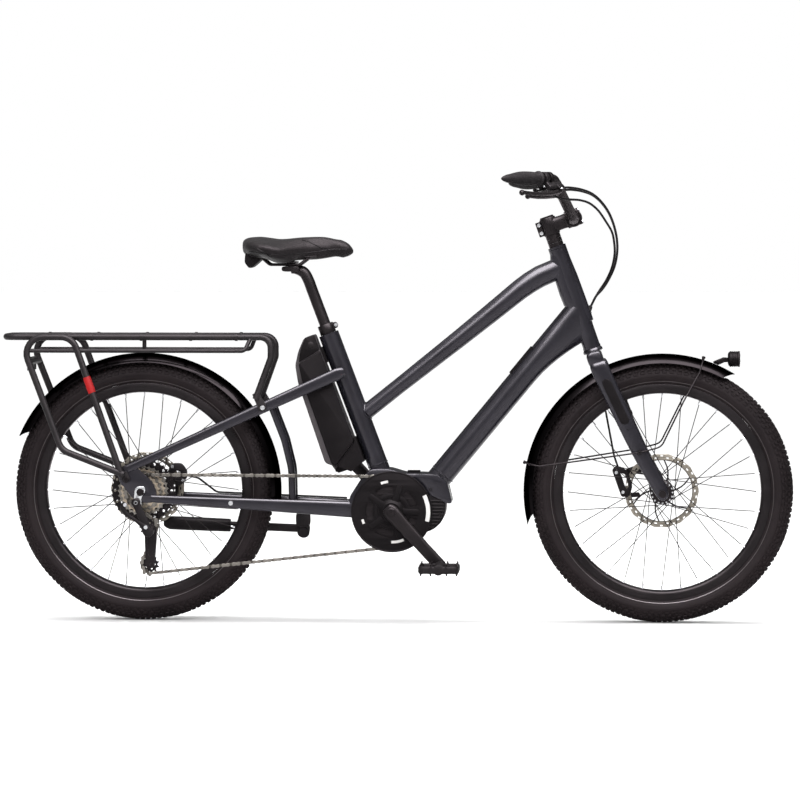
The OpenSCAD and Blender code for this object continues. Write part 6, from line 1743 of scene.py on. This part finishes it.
# %% Wire stays
WIRE_R, WIRE_Y, WIRE_BEND = 2.0, 84.7, 26
HOOP_HALF, HOOP_FOOT = 35.0, 302.0
EYELET = on_head(26, 112)
LAMP_EAR = [(-14, 10), (6, 18), (15, 19), (16, 10), (0, 2)]
EAR_BRIDGE = [(-14, 10), (-8, 10), (0, 5), (-1, 1), (-13, 6)]
EYELET_RING = [(2.6, 81.2), (6.4, 81.2), (6.4, 82.6), (2.6, 82.6)]
STAY_KNOB = [(0, 8.6), (3, 8.4), (4.4, 7), (4.6, 4), (3.4, 3), (3.4, -1)]
EYELET_SCREW = [(0, 86), (2.0, 86), (2.2, 88.4), (4.4, 88.4), (5, 87.4), (5, 82)]
eyelet_left = EYELET + WIRE_Y * ACROSS
# A stay's angle round the wheel, and the places on its left run before the hoop
STAYS = {168: [eyelet_left],
         73: [eyelet_left, near(EYELET, 52, 14, WIRE_Y - 2), near(FRONT, 50, 222, WIRE_Y - 14)]}


def over_fender(angle, lift=2.2, steps=20):
    """A half hoop over the fender from its left edge to its right."""
    hoop = []
    for k in range(steps + 1):
        a = pi / 2 - pi * k / steps
        reach = HOOP_FOOT + (FENDER_R - HOOP_FOOT + lift) * max(cos(a), 0)
        hoop.append(FRONT + reach * toward(angle) + (HOOP_HALF + lift) * sin(a) * ACROSS)
    return hoop


stays, knobs = blank(), blank()
for angle, left_run in STAYS.items():
    right_run = [Vector((p.x, -p.y, p.z)) for p in reversed(left_run)]
    hoop = over_fender(angle)
    down_left, down_right = bent(left_run + hoop[:1], WIRE_BEND, 6), bent(hoop[-1:] + right_run, WIRE_BEND, 6)
    sweep(stays, down_left[:-1] + hoop + down_right[1:], rod(WIRE_R, 12), side=UPWARD)
    spin(knobs, STAY_KNOB, FRONT + FENDER_R * toward(angle), toward(angle), steps=18)
for side in SIDES:
    plate(stays, [drawn(LAMP_FOOT, LAMP_EAR, 4)], side * 5, side * 8, 0.5)
    spin(stays, EYELET_RING, EYELET, side * ACROSS, steps=20, ring=True)
    spin(knobs, EYELET_SCREW, EYELET, side * ACROSS, steps=18)
plate(stays, [drawn(LAMP_FOOT, EAR_BRIDGE)], -8, 8, 0.4)
spin(stays, [(2.5, -9), (2.5, 9)], LAMP_PIVOT, steps=14)
settle("wire_stays", stays, dark_steel, "steering", "black_metal", "fender_stays")
settle("stay_knobs", knobs, nylon, "steering", "black_plastic")
fender_post = spin(blank(), [(6, 330), (6, 341)], HEAD_FOOT, HEAD_UP, steps=20)
settle("fender_post", fender_post, anodised, "steering", "black_metal", "front_fender")
print("lamp and stays made")

# %% Rack
LUG_PART, CHAINSTAY_PART = 0.345, 0.6
RACK_BOLT = near(REAR, -34, 30)
FRONT_LUG = STAY_FRONT.lerp(STAY_REAR, LUG_PART)
CHAINSTAY_BOLT = CHAINSTAY_FRONT.lerp(CHAINSTAY_REAR, CHAINSTAY_PART)
STAY_LUG_Y = on_stay(LUG_PART).y + 14
DECK_Z, DECK_HALF, LEG_Y, LEG_TOP_Y, RAIL_R, CROSS_R, PANNIER_R = 373.5, 60, 90.2, 75, 8.0, 6.0, 5.0
CROSS_BARS = (-240, -120, 0, 120, 230)
lug = FRONT_LUG - REAR
# Ahead of the rear axle, across, and above it
RAIL = [(-331, 0, DECK_Z), (-331, DECK_HALF, DECK_Z), (314, DECK_HALF, DECK_Z),
        (314, DECK_HALF + 2, DECK_Z - 50), (lug.x - 17, STAY_LUG_Y - 2.5, lug.z + 20)]
LEGS = [(-40, LEG_Y, 43), (-190, LEG_Y, 101.5), (-294, LEG_TOP_Y, DECK_Z), (-165, LEG_TOP_Y, DECK_Z),
        (-44, LEG_Y, 38)]
PANNIER_RAIL = [(-272, 76, DECK_Z - 33), (252, 74, DECK_Z - 33), (266, DECK_HALF, DECK_Z)]
STAY_LUG = [(-26, 34), (-8, 34), (9, 6), (7, -9), (-8, -9)]
DROPOUT_LUG = [(-14, 12), (0, 22), (10, 0), (0, -10), (-11, -4)]
LUG_THICK = 5
TAIL_BAR = near(REAR, -268, DECK_Z - 62)
TAIL_PLATE = [(-11, -20), (-5, -20), (-5, 12), (-11, 12)]
RACK_COLLAR = [(9.4, -3.2), (9.4, 3.2)]
rack, collars = blank(), blank()
for side in SIDES:
    for line, bend, radius in ((RAIL, 26, RAIL_R), (LEGS, 40, RAIL_R), (PANNIER_RAIL, 14, PANNIER_R)):
        path = bent([near(REAR, x, z, side * y) for x, y, z in line], bend)
        sweep(rack, path, rod(radius, 24), side=UPWARD)
    for at, outline, inner in ((FRONT_LUG, STAY_LUG, STAY_LUG_Y - LUG_THICK), (RACK_BOLT, DROPOUT_LUG, 79.4)):
        plate(rack, [drawn(at, outline, 5)], side * inner, side * (inner + LUG_THICK), 0.8)
    for x in CROSS_BARS:
        spin(collars, RACK_COLLAR, near(REAR, x, DECK_Z, side * DECK_HALF), FORWARD, steps=24)
# The halves of the rail meet in the middle of the tail, so the end faces there go
ends = [face for face in rack.faces if all(abs(v.co.y) < WELD_MM for v in face.verts)]
bmesh.ops.delete(rack, geom=ends, context="FACES_ONLY")
for at, half in [(near(REAR, x, DECK_Z), DECK_HALF) for x in CROSS_BARS] + [(TAIL_BAR, 77)]:
    sweep(rack, [at - half * ACROSS, at + half * ACROSS], rod(CROSS_R, 20), side=FORWARD)
fender_hanger = [near(REAR, 0, FENDER_R + 1), near(REAR, 0, DECK_Z)]
sweep(rack, fender_hanger, rod(PANNIER_R, 20), side=FORWARD)
plate(rack, [drawn(TAIL_BAR, TAIL_PLATE)], -52, 52, 0.8)
settle("rack_tubes", rack, rack_coat, "frame", "black_metal", "rack")
settle("rack_joints", collars, rack_coat, "frame", "black_metal")

# %% Fittings and axles
FRAME_BOLT = [(0, 1.6), (2.6, 1.6), (2.8, 4), (5.2, 4), (6, 2.6), (6, 0), (3, 0), (3, -14)]
HANGER_LINE = [(-17, -22), (-14, 8), (-6, 14), (10, 14), (12, 2), (2, -12), (2, -32), (-14, -34)]
BAND_STOPS = {0.287: 8.8, 0.31: 9.4, 0.344: 9.3, 0.378: 9.4, 0.4: 8.8}


def bolt_pair(shape, at, reach):
    """A domed socket bolt on each side of the frame."""
    for side in SIDES:
        spin(shape, [(r, reach + out) for r, out in FRAME_BOLT], at, side * ACROSS, steps=20)
    return shape


bolts = bolt_pair(blank(), FRONT_LUG, STAY_LUG_Y)
bolt_pair(bolts, CHAINSTAY_BOLT, on_chainstay(CHAINSTAY_PART).y + 9)
settle("silver_bolts", bolts, stainless, "frame", "steel", "frame_hardware")
leg_bolts = bolt_pair(blank(), RACK_BOLT, 84.4)
settle("rack_leg_bolts", leg_bolts, dark_steel, "frame", "black_metal", "frame_hardware")
hanger = plate(blank(), [drawn(REAR, HANGER_LINE, 5), circle(REAR, AXLE_HOLE)], -84.2, -79.4, 0.8)
settle("changer_hanger", hanger, stainless, "frame", "steel", "frame_hardware")
leg_top, leg_foot = (near(REAR, x, z, -y) for x, y, z in LEGS[3:])
band_rings = [rod(r, 24) for r in BAND_STOPS.values()]
band = sweep(blank(), [leg_top.lerp(leg_foot, t) for t in BAND_STOPS], band_rings)
settle("red_band", band, red_rubber, "frame", "band", "rack_band")
for name in ("front_axle", "rear_axle"):
    dress(name, dark_steel)
dress("headset_cups", powder_coat)
print("rack and fittings made")

# %% Stand
STAND_AT = joint_place("kickstand_fold")
STAND_LEAN, STAND_TURN = radians(-65), radians(2.5)
STAND_SPACE = Matrix.Rotation(STAND_LEAN, 4, "X") @ Matrix.Rotation(STAND_TURN, 4, "Z")
STAND_SPACE.translation = STAND_AT
LEG_EYE = [(5.1, 0), (14, 0), (15, 1), (15, 11), (14, 12), (5.1, 12)]
# Place along the leg, width, thickness and power
FOOT_STOPS = [(-180, 29, 19, 3.4), (-183, 32, 20, 3.4), (-300, 34, 20, 3.4), (-330, 33, 20, 3.2),
              (-338, 26, 19, 2.8), (-343, 20, 16, 2.4), (-345, 10, 10, 2)]
STAND_HUB = [(4, -16), (14, -16), (15, -15), (15, -1.2), (14, -0.4), (5, -0.4), (5, 12.4), (9, 12.4),
             (9, 15), (8, 16.2), (3, 16.2)]
BRACKET_Y, BRACKET_Z = (36.6, 44, 54, 58), 242.5
BRACKET_RINGS = ovals([(36, 37, 4), (36, 37, 4), (32, 34, 4), (26, 26, 4)], sides=28)


def on_stand(shape):
    bmesh.ops.transform(shape, matrix=STAND_SPACE, verts=shape.verts)
    return shape


leg = sweep(blank(), [(x, 0, 6) for x in (0, -40, -150, -262)], oval(20, 12, 3.2))
spin(leg, LEG_EYE, Vector(), UPWARD, steps=36, ring=True)
settle("stand_leg", on_stand(leg), anodised, "kickstand", "black_metal", "kickstand_leg")
foot = sweep(blank(), [(x, 0, 6) for x, *size in FOOT_STOPS], ovals([size for x, *size in FOOT_STOPS]))
settle("stand_foot", on_stand(foot), nylon, "kickstand_foot", "black_metal", "kickstand_foot")
bracket = on_stand(spin(blank(), STAND_HUB, Vector(), UPWARD, steps=32))
bracket_path = [(STAND_AT.x + 1, y, BRACKET_Z) for y in BRACKET_Y]
sweep(bracket, bracket_path, BRACKET_RINGS, side=FORWARD, round_ends=1.5)
settle("stand_bracket", bracket, cast_alloy, "frame", "black_metal", "kickstand_bracket")
print("stand made")
